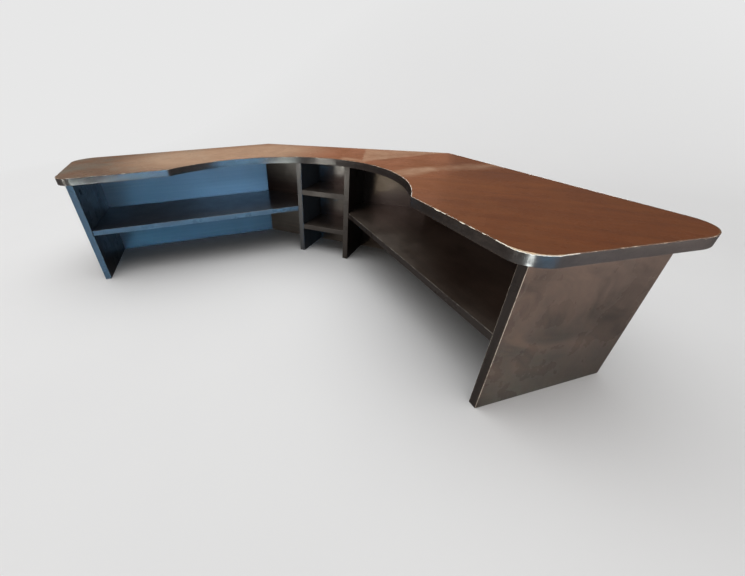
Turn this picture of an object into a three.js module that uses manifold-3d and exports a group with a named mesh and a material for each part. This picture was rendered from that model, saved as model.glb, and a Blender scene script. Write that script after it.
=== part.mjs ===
// Corner desk hutch: an open, three-sided shelf unit that stands on a corner desk.
// Millimetres, +Z up, +Y towards the room corner (back), +X to the user's right.
// Origin: centre of the footprint, on the plane the hutch stands on.
// The unit is symmetric about the plane X = 0. Each wing lies at 45 degrees to it.
//
// Two sets of plan coordinates are used:
//   wing plan   [along, depth]: along a wing from the virtual room corner, and in from the
//               rear edge of the top. The right wing's group has depth reversed.
//   centre plan [across, out]: sideways from the mirror plane, and out from the virtual
//               corner along it. In the centre group, y = -out.
import * as THREE from 'three';
import { mergeVertices } from 'three/addons/utils/BufferGeometryUtils.js';
import Module from 'manifold-3d';

const wasm = await Module();
wasm.setup();

// ---------------------------------------------------------------- driving dimensions
const HEIGHT = 336;          // underside of the side panels to the upper face of the top
const WING = 1183;           // virtual corner to the end of each wing, at its front corner
const END_RAKE = 0.1;        // the top's ends run out by this much per unit towards the rear
const WING_DEPTH = 355;      // depth of the top over each wing
const CORNER_CUT = 501;      // the top's rear corner is cut back this far along each wall
const CURVE_R = 370;         // radius of the concave front
const CURVE_OUT = 926;       // its centre, on the mirror plane, from the virtual corner
const CURVE_EASE = 9;        // easing each side of the corner between curve and straight front
const FRONT_R = 53;          // plan radius of the top's outer front corners
const REAR_R = 66;           // plan radius of the top's outer rear corners
const TOP_T = 20;
const PANEL_T = 18;
const SHELF_T = 16;
const BACK_T = 16;
const BAND_T = 1.2;          // edge band
const GAP = 0.3;             // assembly clearance and glue line
const FRONT_OVER = 22;       // top past the front edges of the end panels
const END_OVER = 20;         // top past the outer faces of the end panels, at the front
const BACK_FACE = 74;        // front faces of the back panels, from the rear edge of the top
const END_REAR = 24;         // rear edges of the end panels, from the rear edge of the top
const SHELF_FRONT = 329;     // front edges of the side shelves, from the rear edge of the top
const SHELF_Z = 170;         // upper face of the side shelves
const CUBBY_HALF = 80;       // half the clear width of the centre cubbies
const CUBBY_SETBACK = 1;     // front edges of the cubby shelves behind those of the dividers
const CUBBY_SHELVES = { upper_cubby_shelf: 228, lower_cubby_shelf: 104 };   // upper faces

// ---------------------------------------------------------------- derived dimensions
const ROOT2 = Math.SQRT2;
const UNDERSIDE = HEIGHT - TOP_T;                   // of the top
const END_OUT = WING - END_OVER;                    // outer face of an end panel
const END_IN = END_OUT - PANEL_T;                   // inner face of an end panel
const PANEL_FRONT = WING_DEPTH - FRONT_OVER;        // front edge of an end panel
const BACK_REAR = BACK_FACE - BACK_T;               // rear faces of the back panels
const CUT_OUT = CORNER_CUT / ROOT2;                 // rear edge of the top at the cut corner
const CENTRE_FACE = CUT_OUT + BACK_FACE;            // front face of the centre back panel
const CENTRE_REAR = CENTRE_FACE - BACK_T;
const DIVIDER_OUT = CUBBY_HALF + PANEL_T;           // outer face of a divider
const DIVIDER_MID = CUBBY_HALF + PANEL_T / 2;
const DIVIDER_FRONT = ROOT2 * SHELF_FRONT + DIVIDER_OUT;

// centres of the top's outer roundings
const RAKE_ANGLE = Math.atan(END_RAKE);
const RAKE_LENGTH = Math.hypot(1, END_RAKE);
const FRONT_ROUND = [WING + FRONT_R * (END_RAKE - RAKE_LENGTH), WING_DEPTH - FRONT_R];
const REAR_ROUND = [WING + END_RAKE * (WING_DEPTH - REAR_R) - REAR_R * RAKE_LENGTH, REAR_R];

// the cut corner's edge and the outer front corners bound the footprint in Y
const FOOTPRINT_FRONT = (FRONT_ROUND[0] + FRONT_ROUND[1]) / ROOT2 + FRONT_R;
const FOOTPRINT_MID = (CUT_OUT + FOOTPRINT_FRONT) / 2;

// ---------------------------------------------------------------- plan geometry
const wingToCentre = ([along, depth]) => [(along - depth) / ROOT2, (along + depth) / ROOT2];
// wing plan points: on a line parallel to the centre back panel, and beside a divider
const onCentreLine = (out, depth) => [ROOT2 * out - depth, depth];
const besideDivider = (across, depth) => [depth + ROOT2 * across, depth];
const rect = (x0, x1, y0, y1) => [[x0, y0], [x1, y0], [x1, y1], [x0, y1]];
const shift = ([x, y], [dx, dy], distance) => [x + dx * distance, y + dy * distance];

function direction(from, to) {
  const length = Math.hypot(to[0] - from[0], to[1] - from[1]);
  return [(to[0] - from[0]) / length, (to[1] - from[1]) / length];
}

const stepTowards = (from, to, distance) => shift(from, direction(from, to), distance);

// moves every edge of a closed or open polyline sideways to its left
function offset(points, distance, closed) {
  const count = points.length;
  const leftNormal = (from, to) => {
    const [dx, dy] = direction(from, to);
    return [-dy, dx];
  };
  return points.map((point, i) => {
    const previous = points[(i + count - 1) % count];
    const next = points[(i + 1) % count];
    const hasBefore = closed || i > 0;
    const hasAfter = closed || i < count - 1;
    const before = hasBefore ? leftNormal(previous, point) : leftNormal(point, next);
    const after = hasAfter ? leftNormal(point, next) : before;
    const reach = distance / (1 + before[0] * after[0] + before[1] * after[1]);
    return shift(point, [before[0] + after[0], before[1] + after[1]], reach);
  });
}

function arc([x, y], radius, start, end, steps) {
  const points = [];
  for (let i = 0; i <= steps; i++) {
    const angle = start + (end - start) * i / steps;
    points.push([x + radius * Math.cos(angle), y + radius * Math.sin(angle)]);
  }
  return points;
}

// ---------------------------------------------------------------- solids
const UP = [0, 0, 1];

function prism(points, z0, z1) {
  const shape = new THREE.Shape(points.map(([x, y]) => new THREE.Vector2(x, y)));
  const options = { depth: z1 - z0, bevelEnabled: false, steps: 1 };
  return new THREE.ExtrudeGeometry(shape, options).translate(0, 0, z0);
}

// a turned solid: the profile [radius, height] starts and ends on the axis
function turned(profile, base, axis, segments = 8) {
  const points = profile.map(([radius, height]) => new THREE.Vector2(radius, height));
  const turn = new THREE.Quaternion().setFromUnitVectors(
    new THREE.Vector3(0, 1, 0), new THREE.Vector3(...axis).normalize());
  return new THREE.LatheGeometry(points, segments).applyQuaternion(turn).translate(...base);
}

const cylinder = (radius, length) => [[0, 0], [radius, 0], [radius, length], [0, length]];

// a solid turned about a fastener's level axis, its base `start` along from the fastener
const turnedOn = ({ at, z, dir }, profile, start, segments) =>
  turned(profile, [...shift(at, dir, start), z], [...dir, 0], segments);

function toManifold(geometry) {
  const bare = geometry.index ? geometry.toNonIndexed() : geometry.clone();
  bare.deleteAttribute('normal');
  bare.deleteAttribute('uv');
  const welded = mergeVertices(bare, 1e-4);
  // drop the zero-area triangles a lathe leaves on its axis
  const index = welded.index.array;
  const kept = [];
  for (let i = 0; i < index.length; i += 3) {
    const corners = index.slice(i, i + 3);
    if (new Set(corners).size === 3) kept.push(...corners);
  }
  return new wasm.Manifold(new wasm.Mesh({
    numProp: 3,
    vertProperties: Float32Array.from(welded.attributes.position.array),
    triVerts: Uint32Array.from(kept),
  }));
}

function fromManifold(solid) {
  const mesh = solid.getMesh();
  const geometry = new THREE.BufferGeometry();
  geometry.setAttribute('position', new THREE.Float32BufferAttribute(mesh.vertProperties, 3));
  geometry.setIndex(new THREE.BufferAttribute(Uint32Array.from(mesh.triVerts), 1));
  const flat = geometry.toNonIndexed();
  flat.computeVertexNormals();
  return flat;
}

function cut(base, cutters) {
  const subtract = (solid, cutter) => solid.subtract(toManifold(cutter));
  return fromManifold(cutters.reduce(subtract, toManifold(base)));
}

// ---------------------------------------------------------------- materials
const material = options => new THREE.MeshStandardMaterial(options);
const VENEER_TOP = material({ color: 0x4a2d20, roughness: 0.3, metalness: 0 });
const VENEER = material({ color: 0x2a1c18, roughness: 0.35, metalness: 0 });
const BAND = material({ color: 0x2c2320, roughness: 0.35, metalness: 0 });
const ZINC = material({ color: 0xb9bcc0, roughness: 0.35, metalness: 0.9 });
const BEECH = material({ color: 0xc9a878, roughness: 0.7, metalness: 0 });
const CAP = material({ color: 0x2a1d18, roughness: 0.5, metalness: 0 });
const STEEL = material({ color: 0x8f9296, roughness: 0.4, metalness: 0.9 });

// ---------------------------------------------------------------- frames
// mirror: sign of wing depth in a wing's group; a side's x in the centre group has sign -mirror
const SIDES = [{ side: 'left', mirror: 1 }, { side: 'right', mirror: -1 }];
const FRAME_ANGLE = { centre: 0, left: -3 * Math.PI / 4, right: -Math.PI / 4 };

const hutch = new THREE.Group();
const frames = {};
for (const [frame, angle] of Object.entries(FRAME_ANGLE)) {
  const group = new THREE.Group();
  group.position.set(0, FOOTPRINT_MID, 0);
  group.rotation.z = angle;
  frames[frame] = group;
  hutch.add(group);
}

// a point or direction in a frame's group -> the centre group
function toCentreGroup(frame, [x, y]) {
  const cos = Math.cos(FRAME_ANGLE[frame]);
  const sin = Math.sin(FRAME_ANGLE[frame]);
  return [x * cos - y * sin, x * sin + y * cos];
}

function add(frame, name, geometry, finish) {
  const mesh = new THREE.Mesh(geometry, finish);
  mesh.name = name;
  frames[frame].add(mesh);
}

const mirrored = (points, mirror) => points.map(([x, y]) => [x, y * mirror]);
const framed = (frame, points) => mirrored(points, frame === 'right' ? -1 : 1);

// a veneered board, bored for its fasteners
function addBoard(frame, name, points, z0, z1) {
  add(frame, name, cut(prism(framed(frame, points), z0, z1), cutsFor(name)), VENEER);
}

function addBand(frame, name, points, z0, z1) {
  add(frame, name, prism(framed(frame, points), z0, z1), BAND);
}

// ---------------------------------------------------------------- fasteners
// Each is { id, frame, at, z, dir, hosts }: `at` and `dir` lie in its frame's group, and
// `hosts` names the boards bored for it.
const CLEARANCE = 0.3;       // radial, round cams and dowels
const OVERRUN = 1;           // cutters run this far past a face

// cam fittings join the uprights to the top: `at` is on the board's middle plane, `dir` is
// the way the pocket opens
const CAM_R = 7.2;
const CAM_DROP = 34;         // cam axis below the top
const CAM_Z = UNDERSIDE - CAM_DROP;
const CAM_POCKET = 13.2;     // pocket depth
const CAM_SEGMENTS = 12;
const CAM_SINK = 0.6;        // cam face below the board's face
const CAM_SHORT = 1;         // cam length less than the pocket depth
const CAM_SLOT = { half: 3.75, open: 3.7, inner: 6, below: 3.6, above: 20 };   // from cam centre
const CAM_BORE_R = 4;        // bore for the bolt, up through the board's top edge
const END_CAM_DEPTHS = { rear: 100, front: 290 };
const DIVIDER_CAM = 70;      // in front of the centre back panel
const BOLT_HEAD_DROP = 3;    // base of the bolt's head below the cam axis
const BOLT_IN_TOP = 11;
const BOLT_L = BOLT_HEAD_DROP + CAM_DROP + BOLT_IN_TOP;
const BOLT_PROFILE = [[0, 0], [3.4, 0], [3.4, 2.5], [2.5, 2.5], [2.5, BOLT_L], [0, BOLT_L]];
const BOLT_HOLE = { radius: 3.2, depth: 12 };       // in the top
const CAP_PROFILE = [[0, 0], [9, 0], [9, 0.8], [8, 1.6], [0, 1.6]];

const cams = SIDES.flatMap(({ side, mirror }) => [
  ...Object.entries(END_CAM_DEPTHS).map(([place, depth]) => ({
    id: `${side}_end_${place}`, frame: side, at: [(END_OUT + END_IN) / 2, depth * mirror],
    z: CAM_Z, dir: [-1, 0], hosts: [side + '_end_panel'],
  })),
  {
    id: side + '_divider', frame: 'centre',
    at: [-mirror * DIVIDER_MID, -(CENTRE_FACE + DIVIDER_CAM)],
    z: CAM_Z, dir: [-mirror, 0], hosts: [side + '_divider'],
  },
]);
const facingIn = cam => ({ ...cam, dir: [-cam.dir[0], 0] });

// countersunk screws through the back panels; `at` is on the panel's rear face
const SCREW_L = 42;
const SCREW_SINK = 0.3;
const SCREW_PROFILE = [[0, 0], [4, 0], [2, 2.4], [2, SCREW_L], [0, SCREW_L]];
const SCREW_HOLE_L = SCREW_L + 0.6;
const SCREW_HOLE = [
  [0, -OVERRUN], [4.4, -OVERRUN], [4.4, 0.2], [2.3, 2.7], [2.3, SCREW_HOLE_L], [0, SCREW_HOLE_L],
];
const SHELF_SCREWS = { inner: 700, outer: 1000 };   // along the wing
const DIVIDER_SCREW_Z = 160;

const centreScrew = (id, x, z, into) => ({
  id, frame: 'centre', at: [x, -CENTRE_REAR], z, dir: [0, -1],
  hosts: ['centre_back_panel', into],
});
const backScrews = [
  ...SIDES.flatMap(({ side, mirror }) => [
    ...Object.entries(SHELF_SCREWS).map(([place, along]) => ({
      id: `${side}_shelf_screw_${place}`, frame: side, at: [along, BACK_REAR * mirror],
      z: SHELF_Z - SHELF_T / 2, dir: [0, mirror], hosts: [side + '_back_panel', side + '_shelf'],
    })),
    centreScrew(side + '_divider_screw', -mirror * DIVIDER_MID, DIVIDER_SCREW_Z,
      side + '_divider'),
  ]),
  ...Object.entries(CUBBY_SHELVES).map(([shelf, z]) =>
    centreScrew(shelf + '_screw', 0, z - SHELF_T / 2, shelf)),
];

// dowels between side shelves and end panels; `at` is on the end panel's inner face
const DOWEL = { radius: 4, length: 30, inPanel: 12, depth: 215 };   // depth: in wing plan
const DOWEL_START = DOWEL.inPanel - DOWEL.length;
const DOWEL_END_PLAY = 0.5;

const shelfDowels = SIDES.map(({ side, mirror }) => ({
  id: side + '_shelf_dowel', frame: side, at: [END_IN, DOWEL.depth * mirror],
  z: SHELF_Z - SHELF_T / 2, dir: [1, 0], hosts: [side + '_end_panel', side + '_shelf'],
}));

// mitres between the wing and centre back panels, in wing plan
const MITRE_FRONT = onCentreLine(CENTRE_FACE, BACK_FACE);
const MITRE_REAR = onCentreLine(CENTRE_REAR, BACK_REAR);
const MITRE_GAP = GAP / 2 / Math.cos(Math.PI / 8);
const AWAY_FROM_WING = [-1 / ROOT2, 1 / ROOT2];     // along the centre back panel

// steel fittings behind the back panels, and their short screws
const STEEL_T = 2;
const PLATE = { z: 190, height: 60, leg: 40, screw: 24 };   // leg, screw: from the mitre
const BRACKET = { along: 860, height: 34, foot: 28, halfWidth: 11, screwZ: 20 };
const FOOT_HOLE = { radius: 2.2, length: 6, start: -2, setback: 16 };
const STEEL_HOLE = { radius: 1.7, length: 8, start: -5 };
const SHORT_L = 12;
const SHORT_PROFILE = [[0, -2], [3.4, -2], [3.4, -0.4], [1.3, 0], [1.3, SHORT_L], [0, SHORT_L]];
const SHORT_HOLE = cylinder(1.6, OVERRUN + SHORT_L + 0.6);
const SHORT_START = -(STEEL_T + GAP + 0.2);         // underside of the head, off the steel

const shortScrews = SIDES.flatMap(({ side, mirror }) => {
  const [centreAlong, centreDepth] = shift(MITRE_REAR, AWAY_FROM_WING, PLATE.screw);
  const z = PLATE.z + PLATE.height / 2;
  const hosts = [side + '_back_panel'];
  return [
    {
      id: side + '_plate_screw_wing', frame: side, fitting: side + '_corner_plate',
      at: [MITRE_REAR[0] + PLATE.screw, BACK_REAR * mirror], z, dir: [0, mirror], hosts,
    },
    {
      id: side + '_plate_screw_centre', frame: side, fitting: side + '_corner_plate',
      at: [centreAlong, centreDepth * mirror], z, dir: [1 / ROOT2, mirror / ROOT2],
      hosts: ['centre_back_panel'],
    },
    {
      id: side + '_bracket_screw', frame: side, fitting: side + '_desk_bracket',
      at: [BRACKET.along, BACK_REAR * mirror], z: BRACKET.screwZ, dir: [0, mirror], hosts,
    },
  ];
});

function camCuts(cam) {
  const pocket = cylinder(CAM_R + CLEARANCE, CAM_POCKET + OVERRUN);
  return [
    turnedOn(facingIn(cam), pocket, -(PANEL_T / 2 + OVERRUN), CAM_SEGMENTS),
    turned(cylinder(CAM_BORE_R, CAM_DROP + OVERRUN), [...cam.at, CAM_Z], UP),
  ];
}

function dowelCut(dowel) {
  const hole = cylinder(DOWEL.radius + CLEARANCE, DOWEL.length + 2 * DOWEL_END_PLAY);
  return turnedOn(dowel, hole, DOWEL_START - DOWEL_END_PLAY);
}

// the centre back panel takes screws that are placed in a wing's frame
function shortCut(screw, host) {
  const frame = host === 'centre_back_panel' ? screw.frame : 'centre';
  const at = toCentreGroup(frame, screw.at);
  const dir = toCentreGroup(frame, screw.dir);
  return turnedOn({ at, dir, z: screw.z }, SHORT_HOLE, -OVERRUN);
}

function cutsFor(host) {
  const inHost = fasteners => fasteners.filter(({ hosts }) => hosts.includes(host));
  return [
    ...inHost(cams).flatMap(camCuts),
    ...inHost(backScrews).map(screw => turnedOn(screw, SCREW_HOLE, 0)),
    ...inHost(shelfDowels).map(dowelCut),
    ...inHost(shortScrews).map(screw => shortCut(screw, host)),
  ];
}

// ---------------------------------------------------------------- top
// half outline in centre plan, from the cut corner at the rear, round the outer end, to the
// mirror plane at the front
function halfOutline() {
  // the straight front edge, out = across + frontLine, meets the concave arc
  const frontLine = ROOT2 * WING_DEPTH;
  const lead = CURVE_OUT - frontLine;
  const across = (lead + Math.sqrt(2 * CURVE_R ** 2 - lead ** 2)) / 2;
  const corner = [across, across + frontLine];
  const curveStart = Math.atan2(corner[1] - CURVE_OUT, across) - CURVE_EASE / CURVE_R;
  const curve = arc([0, CURVE_OUT], CURVE_R, curveStart, -Math.PI / 2, 16);
  const easeStart = shift(corner, [1 / ROOT2, 1 / ROOT2], CURVE_EASE);
  const ease = [0, 0.25, 0.5, 0.75].map(t => [0, 1].map(i =>
    (1 - t) ** 2 * easeStart[i] + 2 * t * (1 - t) * corner[i] + t * t * curve[0][i]));
  const end = [
    [CORNER_CUT, 0],
    ...arc(REAR_ROUND, REAR_R, -Math.PI / 2, RAKE_ANGLE, 8),
    ...arc(FRONT_ROUND, FRONT_R, RAKE_ANGLE, Math.PI / 2, 8),
  ];
  return [...end.map(wingToCentre), ...ease, ...curve];
}

function addTop() {
  // counter-clockwise from above: left rear corner, left end, front, right end, right rear
  const half = halfOutline();
  const outline = [
    ...half.map(([across, out]) => [-across, -out]),
    ...half.slice(0, -1).reverse().map(([across, out]) => [across, -out]),
  ];
  const inner = offset(outline, BAND_T, true);
  const board = prism(offset(outline, BAND_T + GAP, true), UNDERSIDE, HEIGHT);
  const boltHole = cylinder(BOLT_HOLE.radius, BOLT_HOLE.depth + OVERRUN);
  const holes = cams.map(({ frame, at }) =>
    turned(boltHole, [...toCentreGroup(frame, at), UNDERSIDE - OVERRUN], UP));
  add('centre', 'top_panel', cut(board, holes), VENEER_TOP);

  // front band: round both ends and along the front
  const frontBand = [...outline.slice(1, -1), ...inner.slice(1, -1).reverse()];
  addBand('centre', 'top_front_edge_band', frontBand, UNDERSIDE, HEIGHT);

  // rear band: the two wall edges and the cut corner, butted to the front band
  const rearEdge = path => [
    stepTowards(path.at(-2), path.at(-1), GAP), path.at(-1),
    path[0], stepTowards(path[1], path[0], GAP),
  ];
  const rearBand = [...rearEdge(outline), ...rearEdge(inner).reverse()];
  addBand('centre', 'top_rear_edge_band', rearBand, UNDERSIDE, HEIGHT);
}

// ---------------------------------------------------------------- wings
function addEndPanel(side) {
  const name = side + '_end_panel';
  const bandRear = PANEL_FRONT - BAND_T;
  addBoard(side, name, rect(END_IN, END_OUT, END_REAR, bandRear - GAP), 0, UNDERSIDE);
  addBand(side, name + '_edge_band', rect(END_IN, END_OUT, bandRear, PANEL_FRONT), 0, UNDERSIDE);
}

// mitred to the centre back panel
function addWingBack(side) {
  addBoard(side, side + '_back_panel', [
    [MITRE_FRONT[0] + MITRE_GAP, BACK_FACE],
    [END_IN - GAP, BACK_FACE],
    [END_IN - GAP, BACK_REAR],
    [MITRE_REAR[0] + MITRE_GAP, BACK_REAR],
  ], 0, UNDERSIDE);
}

// fits against the end panel, both back panels and the divider
function addSideShelf(side) {
  const name = side + '_shelf';
  const end = END_IN - GAP;
  const rear = BACK_FACE + GAP;
  const across = DIVIDER_OUT + GAP;
  const out = CENTRE_FACE + GAP;
  const bandRear = SHELF_FRONT - BAND_T;
  const front = bandRear - GAP;
  addBoard(side, name, [
    besideDivider(across, front),
    [end, front],
    [end, rear],
    onCentreLine(out, rear),
    [(out + across) / ROOT2, (out - across) / ROOT2],
  ], SHELF_Z - SHELF_T, SHELF_Z);
  addBand(side, name + '_edge_band', [
    besideDivider(across, bandRear),
    [end, bandRear],
    [end, SHELF_FRONT],
    besideDivider(across, SHELF_FRONT),
  ], SHELF_Z - SHELF_T, SHELF_Z);
}

// ---------------------------------------------------------------- centre
function addCentreBack() {
  const front = wingToCentre(MITRE_FRONT)[0] - MITRE_GAP;
  const rear = wingToCentre(MITRE_REAR)[0] - MITRE_GAP;
  addBoard('centre', 'centre_back_panel', [
    [-front, -CENTRE_FACE], [front, -CENTRE_FACE], [rear, -CENTRE_REAR], [-rear, -CENTRE_REAR],
  ], 0, UNDERSIDE);
}

// a board from the centre back panel forward to an edge band at `front`
function addBandedBoard(name, x0, x1, front, z0, z1) {
  const bandRear = front - BAND_T;
  const board = rect(x0, x1, -(bandRear - GAP), -(CENTRE_FACE + GAP));
  addBoard('centre', name, board, z0, z1);
  addBand('centre', name + '_edge_band', rect(x0, x1, -front, -bandRear), z0, z1);
}

function addDivider(side, mirror) {
  const x0 = -mirror * DIVIDER_MID - PANEL_T / 2;
  addBandedBoard(side + '_divider', x0, x0 + PANEL_T, DIVIDER_FRONT, 0, UNDERSIDE);
}

function addCubbyShelf(name, z) {
  const half = CUBBY_HALF - GAP;
  addBandedBoard(name, -half, half, DIVIDER_FRONT - CUBBY_SETBACK, z - SHELF_T, z);
}

// ---------------------------------------------------------------- fittings
function addCam(cam) {
  const { id, frame, at: [x, y], dir: [facing] } = cam;
  // the bolt is threaded into the top, its head held by the cam
  const bolt = turned(BOLT_PROFILE, [x, y, CAM_Z - BOLT_HEAD_DROP], UP);
  add(frame, 'cam_bolt_' + id, bolt, ZINC);

  // the lock is a disc let into the board, hollowed for the bolt
  const disc = turnedOn(facingIn(cam), cylinder(CAM_R, CAM_POCKET - CAM_SHORT),
    -(PANEL_T / 2 - CAM_SINK), CAM_SEGMENTS);
  const { half, open, inner, below, above } = CAM_SLOT;
  const slot = rect(x + facing * open, x - facing * inner, y - half, y + half);
  const lock = cut(disc, [prism(slot, CAM_Z - below, CAM_Z + above)]);
  add(frame, 'cam_lock_' + id, lock, ZINC);

  const cap = turnedOn(cam, CAP_PROFILE, PANEL_T / 2 + GAP, CAM_SEGMENTS);
  add(frame, 'cam_cap_' + id, cap, CAP);
}

const steelHoles = fitting => shortScrews.filter(screw => screw.fitting === fitting)
  .map(screw => turnedOn(screw, cylinder(STEEL_HOLE.radius, STEEL_HOLE.length), STEEL_HOLE.start));

// bent steel across the mitre between two back panels
function addCornerPlate(side, mirror) {
  const name = side + '_corner_plate';
  const line = [
    [MITRE_REAR[0] + PLATE.leg, BACK_REAR],
    MITRE_REAR,
    shift(MITRE_REAR, AWAY_FROM_WING, PLATE.leg),
  ];
  const section = [...offset(line, GAP, false), ...offset(line, GAP + STEEL_T, false).reverse()];
  const plate = prism(mirrored(section, mirror), PLATE.z, PLATE.z + PLATE.height);
  add(side, name, cut(plate, steelHoles(name)), STEEL);
}

// a steel angle behind the back panel, its foot flat on the desk
function addDeskBracket(side, mirror) {
  const name = side + '_desk_bracket';
  const face = BACK_REAR - GAP;
  const { along, height, foot, halfWidth } = BRACKET;
  const profile = [             // [depth, z]
    [face, 0], [face, height], [face - STEEL_T, height],
    [face - STEEL_T, STEEL_T], [face - foot, STEEL_T], [face - foot, 0],
  ].map(([depth, z]) => [depth * mirror, z]);
  // stand the profile up and run it along the wing
  const upright = new THREE.Matrix4().makeBasis(
    new THREE.Vector3(0, 1, 0), new THREE.Vector3(0, 0, 1), new THREE.Vector3(1, 0, 0));
  const angle = prism(profile, -halfWidth, halfWidth).applyMatrix4(upright);
  angle.translate(along, 0, 0);
  const footHole = turned(cylinder(FOOT_HOLE.radius, FOOT_HOLE.length),
    [along, (face - FOOT_HOLE.setback) * mirror, FOOT_HOLE.start], UP);
  add(side, name, cut(angle, [...steelHoles(name), footHole]), STEEL);
}

function addTurned(fasteners, profile, start, finish) {
  for (const fastener of fasteners) {
    add(fastener.frame, fastener.id, turnedOn(fastener, profile, start), finish);
  }
}

// ---------------------------------------------------------------- assembly
addTop();
for (const { side } of SIDES) {
  addEndPanel(side);
  addWingBack(side);
  addSideShelf(side);
}
addCentreBack();
for (const { side, mirror } of SIDES) addDivider(side, mirror);
for (const [name, z] of Object.entries(CUBBY_SHELVES)) addCubbyShelf(name, z);
cams.forEach(addCam);
addTurned(shelfDowels, cylinder(DOWEL.radius, DOWEL.length), DOWEL_START, BEECH);
addTurned(backScrews, SCREW_PROFILE, SCREW_SINK, ZINC);
for (const { side, mirror } of SIDES) {
  addCornerPlate(side, mirror);
  addDeskBracket(side, mirror);
}
addTurned(shortScrews, SHORT_PROFILE, SHORT_START, ZINC);

export default hutch;
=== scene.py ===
"""A corner hutch: one top over two open wings at right angles, with cubbies between them.

It stands on z = 0 and faces -y, with the cut-off rear corner towards +y, the left wing at -x
and the right wing at +x. Sizes are in mm (scaled by MM when vertices are made); shader
coordinates, lights and the camera are in metres.

Plan coordinates: u runs along a wing from the point where the two rear edge lines meet, and v
runs forward from its rear edge. s runs sideways from the centreline, and q straight forward
from that same point.
"""

import bpy
import bmesh
import math
from functools import cached_property, reduce
from mathutils import Matrix, Vector, noise


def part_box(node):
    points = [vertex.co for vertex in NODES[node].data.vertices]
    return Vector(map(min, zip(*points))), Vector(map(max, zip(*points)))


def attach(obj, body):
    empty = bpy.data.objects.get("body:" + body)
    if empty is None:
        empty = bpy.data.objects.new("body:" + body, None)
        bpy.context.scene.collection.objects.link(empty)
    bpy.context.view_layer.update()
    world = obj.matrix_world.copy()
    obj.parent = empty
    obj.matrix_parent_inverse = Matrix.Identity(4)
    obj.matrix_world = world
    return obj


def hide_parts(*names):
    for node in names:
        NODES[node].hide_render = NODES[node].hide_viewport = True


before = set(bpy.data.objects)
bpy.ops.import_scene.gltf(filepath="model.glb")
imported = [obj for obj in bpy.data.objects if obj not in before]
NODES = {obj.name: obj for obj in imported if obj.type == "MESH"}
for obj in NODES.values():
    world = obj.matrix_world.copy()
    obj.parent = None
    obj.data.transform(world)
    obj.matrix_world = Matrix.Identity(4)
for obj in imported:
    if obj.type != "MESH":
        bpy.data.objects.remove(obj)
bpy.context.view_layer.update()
MM = 0.001
ROOT2 = math.sqrt(2.0)

# ---------------------------------------------------------------- driving dimensions
HEIGHT = 336.0
WING_LENGTH = 1183.0        # u of the raked end, at the front edge
WING_DEPTH = 355.0
CORNER_CUT = 501.0          # u where the cut across the rear corner starts
END_RAKE = 0.1              # the ends gain this much length per mm towards the rear
CURVE_R = 370.0             # concave front edge, centred on the centreline
CURVE_Q = 926.0
FRONT_R = 53.0              # rounded corners at the wing ends
REAR_R = 66.0
TOP_T = 20.0
PANEL_T = 18.0
SHELF_T = 16.0
BACK_T = 16.0
BAND_T = 1.2
GAP = 0.3                   # fine joint between pieces
FRONT_OVERHANG = 22.0
END_OVERHANG = 20.0
BACK_FACE = 74.0            # v of the wing backs' front face
END_REAR = 24.0             # v of the end panels' rear edge
SHELF_FRONT = 329.0
SHELF_Z = 170.0             # upper faces of the shelves
CUBBY_Z = {"upper_cubby_shelf": 228.0, "lower_cubby_shelf": 104.0}
CUBBY_HALF = 80.0

UNDERSIDE = HEIGHT - TOP_T
END_OUTER = WING_LENGTH - END_OVERHANG
END_INNER = END_OUTER - PANEL_T
PANEL_FRONT = WING_DEPTH - FRONT_OVERHANG
BACK_REAR = BACK_FACE - BACK_T
CENTRE_FACE = CORNER_CUT / ROOT2 + BACK_FACE
CENTRE_REAR = CENTRE_FACE - BACK_T
DIVIDER_OUTER = CUBBY_HALF + PANEL_T
DIVIDER_FRONT = ROOT2 * SHELF_FRONT + DIVIDER_OUTER
BEHIND_BAND = BAND_T + GAP * 0.4

RAKE_ANGLE = math.atan(END_RAKE)
RAKE_LENGTH = math.hypot(1, END_RAKE)
# u of the centres of the rounded corners
FRONT_CORNER_U = WING_LENGTH + FRONT_R * (END_RAKE - RAKE_LENGTH)
REAR_CORNER_U = WING_LENGTH + END_RAKE * (WING_DEPTH - REAR_R) - REAR_R * RAKE_LENGTH
FOREMOST_Q = (FRONT_CORNER_U + WING_DEPTH - FRONT_R) / ROOT2 + FRONT_R
CENTRE_Q = (CORNER_CUT / ROOT2 + FOREMOST_Q) / 2        # q of the frame's origin

SIDES = (("left", -1), ("right", 1))
X_AXIS, Y_AXIS, Z_AXIS = (1, 0, 0), (0, 1, 0), (0, 0, 1)


def wing_xy(u, v, sign):
    return (sign * (u - v) / ROOT2, CENTRE_Q - (u + v) / ROOT2)


def centre_xy(s, q):
    return (s, CENTRE_Q - q)


def uv_of(s, q):
    return ((q + s) / ROOT2, (q - s) / ROOT2)


def sq_of(u, v):
    return ((u - v) / ROOT2, (u + v) / ROOT2)


def wing_axes(sign):
    """Directions along a wing towards its end, and forward across it."""
    return (sign / ROOT2, -1 / ROOT2, 0), (-sign / ROOT2, -1 / ROOT2, 0)


# ---------------------------------------------------------------- mesh helpers
PIECES = {}                 # finished objects by the name of the node they replace


def object_from(bm, name):
    bmesh.ops.recalc_face_normals(bm, faces=bm.faces)
    mesh = bpy.data.meshes.new(name)
    bm.to_mesh(mesh)
    bm.free()
    o = bpy.data.objects.new(name, mesh)
    bpy.context.scene.collection.objects.link(o)
    return o


def finish(o, smooth=50.0, weighted=True):
    """Shades a piece smooth below an angle and puts it in place of its node."""
    o.data.shade_smooth()
    o.data.set_sharp_from_angle(angle=math.radians(smooth))
    if weighted:
        modifier = o.modifiers.new("normals", "WEIGHTED_NORMAL")
        modifier.keep_sharp = True
        modifier.weight = 80
    node = o.name.removesuffix("_finished")
    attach(o, "root")
    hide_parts(node)
    PIECES[node] = o


def vertex(bm, x, y, z):
    return bm.verts.new((x * MM, y * MM, z * MM))


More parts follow.
